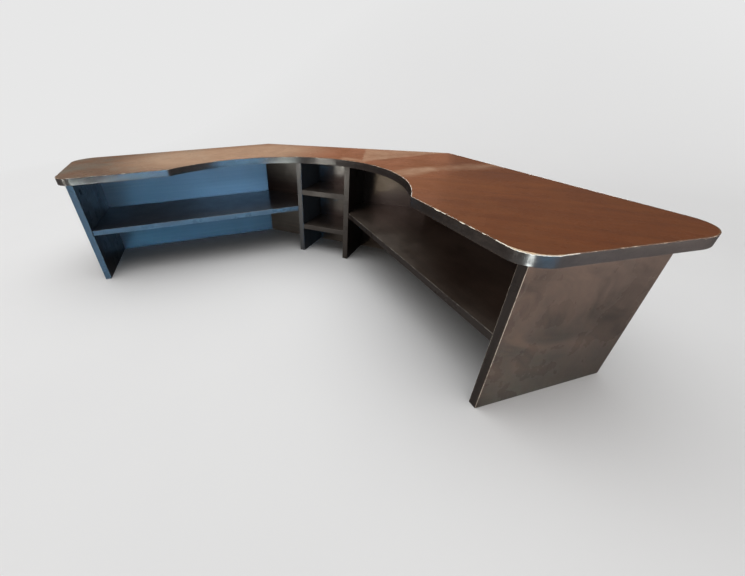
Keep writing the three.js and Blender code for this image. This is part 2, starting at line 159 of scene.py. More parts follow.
def bridge(bm, a, b):
    """Quads between two closed rings of vertices."""
    for i in range(len(a)):
        j = (i + 1) % len(a)
        bm.faces.new((a[i], a[j], b[j], b[i]))


def prism(bm, low, high):
    bm.faces.new(low[::-1])
    bm.faces.new(high)
    bridge(bm, low, high)


def sharp_edges(bm, degrees):
    return [e for e in bm.edges if e.calc_face_angle(0) > math.radians(degrees)]


def ease_edges(bm, edges, offset, segments, clamp=False):
    bmesh.ops.bevel(bm, geom=edges, offset=offset * MM, segments=segments, profile=0.5,
                    affect="EDGES", clamp_overlap=clamp)


def arc(cx, cy, radius, start, end, segments):
    angles = [start + (end - start) * i / segments for i in range(segments + 1)]
    return [(cx + radius * math.cos(a), cy + radius * math.sin(a)) for a in angles]


def counter_clockwise(points):
    area = sum(p[0] * q[1] - q[0] * p[1] for p, q in zip(points, points[1:] + points[:1]))
    return points if area > 0 else points[::-1]


def board(node, points, z0, z1, ease, segments):
    """A board from its plan outline, with eased arrises."""
    points = counter_clockwise(points)
    bm = bmesh.new()
    low = [vertex(bm, x, y, z0) for x, y in points]
    high = [vertex(bm, x, y, z1) for x, y in points]
    prism(bm, low, high)
    bm.normal_update()
    ease_edges(bm, sharp_edges(bm, 15), ease, segments, clamp=True)
    return object_from(bm, f"{node}_finished")


def panel(node, points, z0, z1, ease=0.35):
    finish(board(node, points, z0, z1, ease, segments=2))


def mark_worn(o, a, b):
    """Gives the eased faces between directions a and b the second material."""
    a, b = Vector(a), Vector(b)
    for face in o.data.polygons:
        on_a, on_b = abs(face.normal.dot(a)), abs(face.normal.dot(b))
        if on_a > 0.2 and on_b > 0.2 and on_a ** 2 + on_b ** 2 > 0.9:
            face.material_index = 1


def edge_band(node, points, z0, z1, ease=0.5, worn_between=None):
    o = board(node, points, z0, z1, ease, segments=3)
    if worn_between:
        mark_worn(o, *worn_between)
    finish(o)


def square_to(direction):
    """Two unit vectors at right angles to a direction."""
    other = Vector(Z_AXIS) if abs(direction.z) < 0.9 else Vector(X_AXIS)
    x = other.cross(direction).normalized()
    return x, direction.cross(x)


def lathe(bm, profile, base, axis, segments):
    """A turned form from (radius, height) pairs, standing on base along axis."""
    axis = Vector(axis).normalized()
    x, y = square_to(axis)
    base = Vector(base)
    rings = []
    for radius, height in profile:
        if radius < 1e-6:
            rings.append([bm.verts.new((base + axis * height) * MM)])
            continue
        ring = []
        for k in range(segments):
            angle = 2 * math.pi * k / segments
            spoke = (x * math.cos(angle) + y * math.sin(angle)) * radius
            ring.append(bm.verts.new((base + axis * height + spoke) * MM))
        rings.append(ring)
    for a, b in zip(rings, rings[1:]):
        if len(a) > 1 and len(b) > 1:
            bridge(bm, a, b)
            continue
        for k in range(segments):
            j = (k + 1) % segments
            if len(a) == 1:
                bm.faces.new((a[0], b[j], b[k]))
            else:
                bm.faces.new((a[k], a[j], b[0]))


def cut(o, cutter):
    """Subtracts the cutter from an object and removes it."""
    modifier = o.modifiers.new("cut", "BOOLEAN")
    modifier.operation = "DIFFERENCE"
    modifier.object = cutter
    modifier.solver = "EXACT"
    depsgraph = bpy.context.evaluated_depsgraph_get()
    mesh = bpy.data.meshes.new_from_object(o.evaluated_get(depsgraph))
    o.modifiers.clear()
    old = o.data
    o.data = mesh
    bpy.data.meshes.remove(old)
    bpy.data.objects.remove(cutter)


# ---------------------------------------------------------------- top: outline
CORNER_SEGMENTS = 26
CURVE_SEGMENTS = 84
CUSP_EASE = 9.0             # reach of the eased corner where the curve meets a front edge
CUSP_STEPS = 10
STATION_STEP = 2.6


def half_outline():
    """One half of the top in (u, v): rear cut, wing end, front edge, curve to the centreline."""
    points = [(CORNER_CUT, 0.0)]
    points += arc(REAR_CORNER_U, REAR_R, REAR_R, -math.pi / 2, RAKE_ANGLE, CORNER_SEGMENTS)
    points += arc(FRONT_CORNER_U, WING_DEPTH - FRONT_R, FRONT_R, RAKE_ANGLE, math.pi / 2,
                  CORNER_SEGMENTS)
    # the cusp lies where the curve's circle crosses the front edge line, q - s = line
    line = ROOT2 * WING_DEPTH
    offset = CURVE_Q - line
    cusp_s = (offset + math.sqrt(2 * CURVE_R ** 2 - offset * offset)) / 2
    cusp_q = cusp_s + line
    cusp = uv_of(cusp_s, cusp_q)
    start = math.atan2(cusp_q - CURVE_Q, cusp_s) - CUSP_EASE / CURVE_R
    on_curve = uv_of(CURVE_R * math.cos(start), CURVE_Q + CURVE_R * math.sin(start))
    on_edge = (cusp[0] + CUSP_EASE, WING_DEPTH)
    for i in range(CUSP_STEPS):
        t = i / CUSP_STEPS
        points.append(tuple((1 - t) ** 2 * e + 2 * t * (1 - t) * c + t * t * r
                            for e, c, r in zip(on_edge, cusp, on_curve)))
    curve = arc(0, CURVE_Q, CURVE_R, start, -math.pi / 2, CURVE_SEGMENTS)
    return points + [uv_of(s, q) for s, q in curve]


def resample(path, step):
    """Splits a closed path into even steps; also gives each point's source index."""
    points, sources = [], []
    for i, a in enumerate(path):
        b = path[(i + 1) % len(path)]
        count = max(1, int(math.hypot(b[0] - a[0], b[1] - a[1]) / step + 0.5))
        for j in range(count):
            points.append((a[0] + (b[0] - a[0]) * j / count, a[1] + (b[1] - a[1]) * j / count))
            sources.append(i)
    return points, sources


def shorten(path, gap):
    """Draws both ends of an open path in by a gap."""
    def step(a, b):
        length = math.hypot(b[0] - a[0], b[1] - a[1])
        return (a[0] + (b[0] - a[0]) * gap / length, a[1] + (b[1] - a[1]) * gap / length)
    return [step(path[0], path[1])] + path[1:-1] + [step(path[-1], path[-2])]


half = [sq_of(u, v) for u, v in half_outline()]
# counter-clockwise from above, starting at the rear of the left wing
outline = [centre_xy(-s, q) for s, q in half] + [centre_xy(s, q) for s, q in half[:-1]][::-1]
stations, sources = resample(outline, STATION_STEP)
# the front band starts and ends where the rounded rear corners leave the rear edges
band_start = sources.index(1)
band_end = sources.index(len(outline) - 2)
front_path = stations[band_start:band_end + 1]
rear_path = stations[band_end:] + stations[:band_start + 1]

# ---------------------------------------------------------------- top: chipped arris and sweeps
# chips in the upper front arris: x, y, reach along the edge, width, depth
CHIPS = [
    (434, -221, 7.2, 2.36, 1.86), (447, -236, 4.5, 1.18, 0.86), (484, -272, 5.4, 2.08, 1.57),
    (502, -289, 6.2, 1.11, 0.71), (520, -306, 5.4, 1.25, 0.86), (546, -331, 8.1, 1.59, 1.14),
    (555, -339, 6.2, 1.74, 1.29), (563, -346, 9.8, 2.29, 1.65), (574, -354, 8.5, 3.13, 2.38),
    (583, -358.5, 10.6, 2.96, 2.03), (596, -357, 9.6, 2.38, 1.61), (612, -350, 13.9, 2.14, 1.36),
    (630, -335, 11.7, 1.57, 0.94), (-606, -357, 6, 2, 1.4), (-640, -326, 7, 2.1, 1.4),
    (-561, -344, 5, 1.6, 1.1), (-455, -240, 4.5, 1.4, 1), (-92, 144, 4, 1, 0.8),
    (255, 0, 6, 1.6, 1.1), (706, -258, 6.4, 1.32, 0.94), (-700, -266, 7, 1.5, 1.1),
]
LOWER_EASE = 0.6            # easing of the front band's lower arris
ARC_MIDDLE = 0.29           # where a quarter round's middle lies, as a share of its radius
BOARD_EASE = 0.14           # easing of the top board behind its bands


def arris(x, y):
    """Width, depth and chipping (0 to 1) of the upper arris at a place on the outline."""
    rub = 0.5 + 0.5 * noise.noise(Vector((x * 0.05, y * 0.05, 3.1)))
    width = 0.55 + 0.35 * rub
    depth = 0.5 + 0.3 * rub
    chipping = 0.0
    for chip_x, chip_y, reach, chip_width, chip_depth in CHIPS:
        distance = math.hypot(x - chip_x, y - chip_y)
        if distance < 2.2 * reach:
            jag = (1 + 0.55 * noise.noise(Vector((x * 0.7, y * 0.7, chip_x)))
                   + 0.3 * noise.noise(Vector((x * 2.1, y * 2.1, chip_y))))
            f = max(0.0, 1 - (distance / (1.25 * reach)) ** 2) ** 0.6 * max(0.2, jag)
            if chip_width * f > width:
                width = chip_width * f
                depth = max(depth, chip_depth * f)
                chipping = max(chipping, f)
    return width, depth, chipping


# A section gives (inward, z) pairs at a place on the outline, and the chipping there.
def board_section(x, y):
    width, depth, chipping = arris(x, y)
    inset = BAND_T + GAP * 0.5
    over = width - inset
    if over > 0.2:
        side = (inset, HEIGHT - depth * (1 - inset / width))
        upper = (inset + over, HEIGHT)
    else:
        side = (inset, HEIGHT - BOARD_EASE)
        upper = (inset + BOARD_EASE, HEIGHT)
        chipping = 0.0
    lower = [(inset + BOARD_EASE, UNDERSIDE), (inset, UNDERSIDE + BOARD_EASE)]
    return lower + [side, upper], chipping


def front_band_section(x, y):
    width, depth, chipping = arris(x, y)
    bend = 0.28 + 0.1 * noise.noise(Vector((x, y, 7.0)))
    if width < BAND_T - 0.1:
        upper = [(0.0, HEIGHT - depth), (width * bend, HEIGHT - depth * bend),
                 (width, HEIGHT), (BAND_T, HEIGHT)]
    else:                                           # the chip runs on into the board
        z_inner = HEIGHT - depth * (1 - BAND_T / width)
        upper = [(0.0, HEIGHT - depth),
                 (width * bend * 0.8, HEIGHT - depth * (1 - bend) * 0.95),
                 (BAND_T * 0.8, z_inner - 0.08), (BAND_T, z_inner)]
    lower = [(BAND_T, UNDERSIDE), (LOWER_EASE, UNDERSIDE),
             (LOWER_EASE * ARC_MIDDLE, UNDERSIDE + LOWER_EASE * ARC_MIDDLE),
             (0.0, UNDERSIDE + LOWER_EASE)]
    return lower + upper, chipping


def rear_band_section(x, y):
    ease = 0.4 + 0.2 * noise.noise(Vector((x * 0.04, y * 0.04, 9.0)))
    middle = ease * ARC_MIDDLE
    return [(BAND_T, UNDERSIDE), (ease, UNDERSIDE), (middle, UNDERSIDE + middle),
            (0, UNDERSIDE + ease), (0, HEIGHT - ease), (middle, HEIGHT - middle),
            (ease, HEIGHT), (BAND_T, HEIGHT)], 0


def inward_offsets(path, closed):
    """Mitred vectors to the left of the path, which is inwards, for an offset of one."""
    def left_of(a, b):
        length = math.hypot(b[0] - a[0], b[1] - a[1])
        return (-(b[1] - a[1]) / length, (b[0] - a[0]) / length)
    count, offsets = len(path), []
    for i, p in enumerate(path):
        before = left_of(path[i - 1], p) if closed or i > 0 else None
        after = left_of(p, path[(i + 1) % count]) if closed or i < count - 1 else before
        before = before or after
        k = 1 / (1 + before[0] * after[0] + before[1] * after[1])
        offsets.append(((before[0] + after[0]) * k, (before[1] + after[1]) * k))
    return offsets


def sweep(node, path, closed, section, worn_rows=()):
    """Sweeps a section along a path.

    A closed path makes a slab with flat faces above and below, an open one a closed strip.
    Faces in worn_rows take material 1 where they are chipped and 2 elsewhere.
    """
    bm = bmesh.new()
    columns, chips = [], []
    for (x, y), (in_x, in_y) in zip(path, inward_offsets(path, closed)):
        points, chipping = section(x, y)
        columns.append([vertex(bm, x + in_x * d, y + in_y * d, z) for d, z in points])
        chips.append(chipping)
    count, rows = len(columns), len(columns[0])
    for i in range(count if closed else count - 1):
        j = (i + 1) % count
        a, b = columns[i], columns[j]
        for r in range(rows - 1 if closed else rows):
            s = (r + 1) % rows
            face = bm.faces.new((a[r], b[r], b[s], a[s]))
            if r in worn_rows:
                face.material_index = 1 if max(chips[i], chips[j]) > 0.2 else 2
    if closed:
        bm.faces.new([column[-1] for column in columns])
        bm.faces.new([column[0] for column in columns][::-1])
    else:
        bm.faces.new(columns[0])
        bm.faces.new(columns[-1][::-1])
    return object_from(bm, f"{node}_finished")


finish(sweep("top_panel", stations, True, board_section, worn_rows={2}), 35)
finish(sweep("top_front_edge_band", front_path, False, front_band_section, worn_rows={4, 5}),
       38)
finish(sweep("top_rear_edge_band", shorten(rear_path, GAP), False, rear_band_section),
       50)

# ---------------------------------------------------------------- boards
# (u, v) of the mitres between the wing backs and the centre back, at their faces
MITRE_FRONT = (ROOT2 * CENTRE_FACE - BACK_FACE, BACK_FACE)
MITRE_REAR = (2 * uv_of(0, CENTRE_REAR)[0] - BACK_REAR, BACK_REAR)
MITRE_GAP = GAP / 2 / math.cos(math.pi / 8)


def wing_points(sign, *uv):
    return [wing_xy(u, v, sign) for u, v in uv]


def wing_rectangle(sign, u0, u1, v0, v1):
    return wing_points(sign, (u0, v0), (u1, v0), (u1, v1), (u0, v1))


def centre_rectangle(x0, x1, q0, q1):
    return [centre_xy(x, q) for x, q in ((x0, q0), (x1, q0), (x1, q1), (x0, q1))]


def end_panel(side, sign):
    panel(f"{side}_end_panel",
          wing_rectangle(sign, END_INNER, END_OUTER, END_REAR, PANEL_FRONT - BEHIND_BAND),
          0, UNDERSIDE, ease=0.45)
    edge_band(f"{side}_end_panel_edge_band",
              wing_rectangle(sign, END_INNER, END_OUTER, PANEL_FRONT - BAND_T, PANEL_FRONT),
              0, UNDERSIDE, ease=0.58, worn_between=wing_axes(sign))


def wing_back(side, sign):
    panel(f"{side}_back_panel",
          wing_points(sign, (MITRE_FRONT[0] + MITRE_GAP, BACK_FACE), (END_INNER - GAP, BACK_FACE),
                      (END_INNER - GAP, BACK_REAR), (MITRE_REAR[0] + MITRE_GAP, BACK_REAR)),
          0, UNDERSIDE)


def wing_shelf(side, sign):
    """A shelf fitted between the divider, the centre back, the wing back and the end panel."""
    s_in, q_back = DIVIDER_OUTER + GAP, CENTRE_FACE + GAP
    u_end, v_back = END_INNER - GAP, BACK_FACE + GAP
    v_front, v_band = SHELF_FRONT - BEHIND_BAND, SHELF_FRONT - BAND_T
    panel(f"{side}_shelf",
          wing_points(sign, (v_front + ROOT2 * s_in, v_front), (u_end, v_front), (u_end, v_back),
                      (ROOT2 * q_back - v_back, v_back), uv_of(s_in, q_back)),
          SHELF_Z - SHELF_T, SHELF_Z)
    edge_band(f"{side}_shelf_edge_band",
              wing_points(sign, (v_band + ROOT2 * s_in, v_band), (u_end, v_band),
                          (u_end, SHELF_FRONT), (SHELF_FRONT + ROOT2 * s_in, SHELF_FRONT)),
              SHELF_Z - SHELF_T, SHELF_Z, worn_between=(Z_AXIS, wing_axes(sign)[1]))


def divider(side, sign):
    x0, x1 = sorted((sign * CUBBY_HALF, sign * DIVIDER_OUTER))
    panel(f"{side}_divider",
          centre_rectangle(x0, x1, DIVIDER_FRONT - BEHIND_BAND, CENTRE_FACE + GAP), 0, UNDERSIDE)
    edge_band(f"{side}_divider_edge_band",
              centre_rectangle(x0, x1, DIVIDER_FRONT, DIVIDER_FRONT - BAND_T), 0, UNDERSIDE)


def centre_back():
    s_front = sq_of(*MITRE_FRONT)[0] - MITRE_GAP
    s_rear = sq_of(*MITRE_REAR)[0] - MITRE_GAP
    panel("centre_back_panel",
          [centre_xy(-s_front, CENTRE_FACE), centre_xy(s_front, CENTRE_FACE),
           centre_xy(s_rear, CENTRE_REAR), centre_xy(-s_rear, CENTRE_REAR)], 0, UNDERSIDE)


def cubby_shelf(node, z):
    x, front = CUBBY_HALF - GAP, DIVIDER_FRONT - 1      # set 1 mm back from the dividers
    panel(node, centre_rectangle(-x, x, front - BEHIND_BAND, CENTRE_FACE + GAP), z - SHELF_T, z)
    edge_band(f"{node}_edge_band", centre_rectangle(-x, x, front, front - BAND_T),
              z - SHELF_T, z)


for side, sign in SIDES:
    end_panel(side, sign)
    wing_back(side, sign)
    wing_shelf(side, sign)
    divider(side, sign)
centre_back()
for node, z in CUBBY_Z.items():
    cubby_shelf(node, z)

# ---------------------------------------------------------------- screws
FLAT_HEAD_R = 4.0
PAN_HEAD_R = 3.4
# head: (radius, depth) pairs; neck: depth of the head's end; recess_at: depth of the head's face
FLAT_SCREW = dict(
    head=[(0, -0.05), (FLAT_HEAD_R - 0.35, -0.05), (FLAT_HEAD_R, 0.25),
          (FLAT_HEAD_R - 0.05, 0.5), (2.05, 2.6)],
    head_r=FLAT_HEAD_R, length=42, neck=2.6, core=1.45, crest=2.0, pitch=1.9, recess_at=0.0)
PAN_SCREW = dict(
    head=[(0, -1.75), (PAN_HEAD_R * 0.45, -1.68), (PAN_HEAD_R * 0.8, -1.35),
          (PAN_HEAD_R * 0.97, -0.8), (PAN_HEAD_R, -0.35), (PAN_HEAD_R, 0.0), (1.3, 0.0)],
    head_r=PAN_HEAD_R, length=14, neck=0.0, core=0.95, crest=1.3, pitch=1.2, recess_at=-1.7)
SHELF_SCREW_U = {"inner": 700, "outer": 1000}
DIVIDER_SCREW_Z = 160
INTO_CENTRE = (0, -1, 0)    # from the rear of the centre back towards the front


def cross_recess(face, axis, reach, depth, width, turn=0.4):
    """Two tapered cutters that form a cross in a screw head."""
    x, y = square_to(axis)
    first = x * math.cos(turn) + y * math.sin(turn)
    second = axis.cross(first)
    cutters = []
    for long, short in ((first, second), (second, first)):
        bm = bmesh.new()
        rings = []
        for level, taper in ((-0.6, 1.0), (depth, 0.35)):
            rings.append([bm.verts.new((face + axis * level + long * (a * reach * taper)
                                        + short * (b * width * (0.6 + 0.4 * taper))) * MM)
                          for a, b in ((-1, -1), (1, -1), (1, 1), (-1, 1))])
        prism(bm, *rings)
        cutters.append(object_from(bm, "cutter"))
    return cutters


def screw(node, place, direction, head, head_r, length, neck, core, crest, pitch, recess_at):
    """A cross-head screw with its head at a place on the surface, pointing along direction."""
    z = neck + 0.8
    profile = head + [(core, z)]
    while z < length - 4:
        profile += [(core, z + pitch * 0.55), (crest, z + pitch * 0.78), (core, z + pitch)]
        z += pitch
    profile += [(core * 0.9, length - 2.5), (0, length)]
    bm = bmesh.new()
    lathe(bm, profile, place, direction, 24)
    o = object_from(bm, f"{node}_finished")
    axis = Vector(direction).normalized()
    face = Vector(place) + axis * recess_at
    for cutter in cross_recess(face, axis, reach=head_r * 0.62, depth=1.3, width=0.42):
        cut(o, cutter)
    finish(o, 40, weighted=False)


for side, sign in SIDES:
    for at, u in SHELF_SCREW_U.items():
        place = (*wing_xy(u, BACK_REAR, sign), SHELF_Z - SHELF_T / 2)
        screw(f"{side}_shelf_screw_{at}", place, wing_axes(sign)[1], **FLAT_SCREW)
    place = (*centre_xy(sign * (CUBBY_HALF + DIVIDER_OUTER) / 2, CENTRE_REAR), DIVIDER_SCREW_Z)
    screw(f"{side}_divider_screw", place, INTO_CENTRE, **FLAT_SCREW)
for node, z in CUBBY_Z.items():
    screw(f"{node}_screw", (*centre_xy(0, CENTRE_REAR), z - SHELF_T / 2), INTO_CENTRE,
          **FLAT_SCREW)

# ---------------------------------------------------------------- steel plates and brackets
STEEL_T = 2.0
PLATE_H = 60.0
PLATE_MIDDLE_Z = 190.0 + PLATE_H / 2
PLATE_LEG = 40.0
PLATE_BEND = 7.0            # the bend takes up this much of each leg
PLATE_CORNER_R = 7.0
PLATE_SCREW_AT = 24         # from the bend
BRACKET_U = 860.0
BRACKET_HALF_W = 11
BRACKET_H = 34.0
BRACKET_FOOT = 28
FOLD_OUTER_R, FOLD_INNER_R = 4.0, 2.0
TIP_R = 5                   # rounded ends of both bracket flanges
BRACKET_SCREW_Z = 20
# countersunk hole up through the foot: (radius, z) pairs
FOOT_HOLE = [(0, -3), (2.2, -3), (2.2, 1.0), (4.4, 3.2), (0, 3.2)]


def plate_point(along, out, sign):
    """Plan place on a corner plate; along is from the bend, positive on the wing leg."""
    wing_leg, centre_leg = Vector((1, 0)), Vector((-1 / ROOT2, 1 / ROOT2))
    wing_out, centre_out = Vector((0, -1)), Vector((-1 / ROOT2, -1 / ROOT2))
    mitre = Vector(MITRE_REAR)
    if abs(along) >= PLATE_BEND:
        leg, normal = (wing_leg, wing_out) if along > 0 else (centre_leg, centre_out)
        p = mitre + leg * abs(along) + normal * out
    else:
        k = (along / PLATE_BEND + 1) / 2            # 0 on the centre leg, 1 on the wing leg
        start = mitre + centre_leg * PLATE_BEND + centre_out * out
        end = mitre + wing_leg * PLATE_BEND + wing_out * out
        middle = mitre + (wing_out + centre_out).normalized() * (out / math.cos(math.pi / 8))
        p = start * (1 - k) ** 2 + middle * 2 * k * (1 - k) + end * k * k
    return wing_xy(p.x, p.y, sign)


def plate_half_height(along):
    from_end = PLATE_LEG - abs(along)
    if from_end >= PLATE_CORNER_R:
        return PLATE_H / 2
    r = PLATE_CORNER_R
    return PLATE_H / 2 - (r - math.sqrt(r * r - (r - from_end) ** 2))


def corner_plate(side, sign):
    """A bent plate across the rear of a mitre, with rounded ends."""
    leg = [10, 18, 26, PLATE_LEG - 7, PLATE_LEG - 3.5, PLATE_LEG - 1.2, PLATE_LEG]
    bend = [-PLATE_BEND + 2 * PLATE_BEND * i / 12 for i in range(13)]
    bm = bmesh.new()
    rings = []
    for along in [-at for at in reversed(leg)] + bend + leg:
        half_h = plate_half_height(along)
        low, high = PLATE_MIDDLE_Z - half_h, PLATE_MIDDLE_Z + half_h
        rings.append([vertex(bm, *plate_point(along, out, sign), z) for out, z in
                      ((GAP, low), (GAP, high), (GAP + STEEL_T, high), (GAP + STEEL_T, low))])
    for a, b in zip(rings, rings[1:]):
        bridge(bm, a, b)
    bm.faces.new(rings[0])
    bm.faces.new(rings[-1][::-1])
    bm.normal_update()
    ease_edges(bm, sharp_edges(bm, 50), 0.35, 2)
    finish(object_from(bm, f"{side}_corner_plate_finished"), 40)


def plate_screws(side, sign):
    place = wing_xy(MITRE_REAR[0] + PLATE_SCREW_AT, BACK_REAR - GAP - STEEL_T, sign)
    screw(f"{side}_plate_screw_wing", (*place, PLATE_MIDDLE_Z), wing_axes(sign)[1], **PAN_SCREW)
    along, out = PLATE_SCREW_AT / ROOT2, (GAP + STEEL_T) / ROOT2
    place = wing_xy(MITRE_REAR[0] - along - out, MITRE_REAR[1] + along - out, sign)
    screw(f"{side}_plate_screw_centre", (*place, PLATE_MIDDLE_Z), INTO_CENTRE, **PAN_SCREW)


def desk_bracket(side, sign):
    """A folded angle behind a wing back, with its foot pointing to the rear."""
    face = BACK_REAR - GAP
    fold = face - FOLD_OUTER_R
    profile = [(face, BRACKET_H)]                   # (v, z) pairs
    profile += arc(fold, FOLD_OUTER_R, FOLD_OUTER_R, 0, -math.pi / 2, 8)
    profile += [(face - BRACKET_FOOT, 0.0), (face - BRACKET_FOOT, STEEL_T)]
    profile += arc(fold, FOLD_OUTER_R, FOLD_INNER_R, -math.pi / 2, 0, 8)
    profile += [(face - STEEL_T, BRACKET_H)]
    bm = bmesh.new()
    a, b = [[vertex(bm, *wing_xy(u, v, sign), z) for v, z in profile]
            for u in (BRACKET_U - BRACKET_HALF_W, BRACKET_U + BRACKET_HALF_W)]
    bm.faces.new(a)
    bm.faces.new(b[::-1])
    for i in range(len(profile)):
        j = (i + 1) % len(profile)
        bm.faces.new((a[i], b[i], b[j], a[j]))
    bmesh.ops.recalc_face_normals(bm, faces=bm.faces)
    # the corner edges of the flanges are the only sharp ones as long as the steel is thick
    tips = [e for e in bm.edges
            if (STEEL_T - 0.3) * MM < e.calc_length() < (STEEL_T + 0.2) * MM
            and e.calc_face_angle(0) > 1.2]
    ease_edges(bm, tips, TIP_R, 5)
    ease_edges(bm, sharp_edges(bm, 60), 0.3, 2)
    o = object_from(bm, f"{side}_desk_bracket_finished")
    bm = bmesh.new()
    lathe(bm, FOOT_HOLE, (*wing_xy(BRACKET_U, face - 16, sign), 0), Z_AXIS, 32)
    cut(o, object_from(bm, "cutter"))
    finish(o, 40)
    place = (*wing_xy(BRACKET_U, face - STEEL_T, sign), BRACKET_SCREW_Z)
    screw(f"{side}_bracket_screw", place, wing_axes(sign)[1], **PAN_SCREW)


for side, sign in SIDES:
    corner_plate(side, sign)
    plate_screws(side, sign)
    desk_bracket(side, sign)

# ---------------------------------------------------------------- cam caps
CAP_PROFILE = [             # (radius, height) pairs
    (0, 0), (8.7, 0), (9.0, 0.2), (9.0, 0.55), (8.8, 0.85), (8.3, 1.12), (7.4, 1.3),
    (6.9, 1.28), (6.6, 1.15), (6.2, 1.1), (4.0, 1.32), (0, 1.45),
]


def cam_cap(node, axis):
    """A dished cap, set on the middle of its node and facing along axis."""
    low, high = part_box(node)
    bm = bmesh.new()
    lathe(bm, CAP_PROFILE, (low + high) / 2 / MM - axis * 0.8, axis, 48)
    finish(object_from(bm, f"{node}_finished"), 40, weighted=False)


for side, sign in SIDES:
    for at in ("end_rear", "end_front", "divider"):
        outward = Vector((sign, 0, 0))
        cam_cap(f"cam_cap_{side}_{at}", outward if at == "divider" else -Vector(wing_axes(sign)[0]))


# ---------------------------------------------------------------- shader tools
class Shader:
    """Builds a material's nodes; values may be numbers, tuples or sockets."""

    def __init__(self, name):
        self.material = bpy.data.materials.new(name)
        self.material.use_nodes = True
        self.tree = self.material.node_tree
        self.tree.nodes.clear()
        self.output = self.new("OutputMaterial")
        self.place = self.new("TexCoord").outputs["Object"]

    def new(self, kind):
        return self.tree.nodes.new("ShaderNode" + kind)

    @cached_property
    def geometry(self):
        return self.new("NewGeometry").outputs

    def put(self, socket, value):
        if value is None:
            return
        if isinstance(value, bpy.types.NodeSocket):
            self.tree.links.new(value, socket)
            return
        if hasattr(value, "__len__") and len(value) < len(socket.default_value):
            value = (*value, 1.0)                   # a colour without its alpha
        socket.default_value = value

    def math(self, operation, a, b=None, clamp=False):
        n = self.new("Math")
        n.operation, n.use_clamp = operation, clamp
        self.put(n.inputs[0], a)
        self.put(n.inputs[1], b)
        return n.outputs[0]

    def plus(self, *terms):
        return reduce(lambda a, b: self.math("ADD", a, b), terms)

    def times(self, *terms):
        return reduce(lambda a, b: self.math("MULTIPLY", a, b), terms)

    def minus(self, a, b):
        return self.math("SUBTRACT", a, b)

    def largest(self, *terms):
        return reduce(lambda a, b: self.math("MAXIMUM", a, b), terms)

    def vector(self, operation, a, b=None):
        n = self.new("VectorMath")
        n.operation = operation
        self.put(n.inputs[0], a)
        self.put(n.inputs[1], b)
        return n.outputs["Value" if operation in ("DOT_PRODUCT", "LENGTH") else 0]

    def dot(self, a, b):
        return self.vector("DOT_PRODUCT", a, b)

    def combine(self, *parts):
        n = self.new("CombineXYZ")
        for socket, value in zip(n.inputs, parts):
            self.put(socket, value)
        return n.outputs[0]

    def stretch(self, *axes):
        """A vector whose parts are (coordinate, scale) pairs or plain numbers."""
        return self.combine(*(self.times(*a) if isinstance(a, tuple) else a for a in axes))

    def noise(self, vector, scale=1.0, detail=4.0, rough=0.55, distortion=0.0, output="Fac"):
        n = self.new("TexNoise")
        self.put(n.inputs["Vector"], vector)
        n.inputs["Scale"].default_value = scale
        n.inputs["Detail"].default_value = detail
        n.inputs["Roughness"].default_value = rough
        n.inputs["Distortion"].default_value = distortion
        return n.outputs[output]

    def ramp(self, value, stops):
        """A colour ramp from (position, grey or colour) stops."""
        n = self.new("ValToRGB")
        self.put(n.inputs[0], value)
        elements = n.color_ramp.elements
        for i, (position, colour) in enumerate(stops):
            e = elements[i] if i < 2 else elements.new(position)
            e.position = position
            e.color = (*colour, 1) if isinstance(colour, tuple) else (colour, colour, colour, 1)
        return n.outputs[0]

    def remap(self, value, span, to=(0.0, 1.0)):
        n = self.new("MapRange")
        n.clamp = True
        for socket, v in zip(n.inputs, (value, *span, *to)):
            self.put(socket, v)
        return n.outputs[0]

    def mix(self, factor, a, b):
        n = self.new("Mix")
        n.data_type, n.clamp_factor = "RGBA", True
        self.put(n.inputs[0], factor)
        self.put(n.inputs[6], a)
        self.put(n.inputs[7], b)
        return n.outputs[2]

    def mix_shader(self, factor, a, b):
        n = self.new("MixShader")
        for socket, value in zip(n.inputs, (factor, a, b)):
            self.put(socket, value)
        return n.outputs[0]

    def bump(self, height, distance, strength, normal=None):
        n = self.new("Bump")
        n.inputs["Distance"].default_value = distance
        n.inputs["Strength"].default_value = strength
        self.put(n.inputs["Height"], height)
        self.put(n.inputs["Normal"], normal)
        return n.outputs[0]

    def principled(self, settings):
        n = self.new("BsdfPrincipled")
        for name, value in settings.items():
            self.put(n.inputs[name], value)
        return n.outputs[0]

    def surface(self, shader):
        self.put(self.output.inputs["Surface"], shader)
        return self.material

    def capsule(self, place, a, b, radius, soft):
        """1 inside a capsule from a to b in plan (mm), fading to 0 over soft mm."""
        start = (a[0] * MM, a[1] * MM, 0)
        run = (b[0] * MM - start[0], b[1] * MM - start[1], 0.0)
        from_start = self.vector("SUBTRACT", self.vector("MULTIPLY", place, (1, 1, 0)), start)
        k = self.math("DIVIDE", self.dot(from_start, run), run[0] ** 2 + run[1] ** 2, clamp=True)
        nearest = self.vector("MULTIPLY", self.combine(k, k, k), run)
        distance = self.vector("LENGTH", self.vector("SUBTRACT", from_start, nearest))
        return self.remap(distance, (radius * MM, (radius + soft) * MM), to=(1.0, 0.0))

    def beyond(self, place, a, b, soft):
        """0 to the left of the line from a to b (mm, in plan), 1 to its right."""
        dx, dy = b[0] - a[0], b[1] - a[1]
        length = math.hypot(dx, dy)
        right = (dy / length, -dx / length, 0.0)
        offset = (a[0] * right[0] + a[1] * right[1]) * MM
        return self.remap(self.minus(self.dot(place, right), offset), (-soft * MM, soft * MM))


def shade(colour, factor):
    return tuple(c * factor for c in colour)


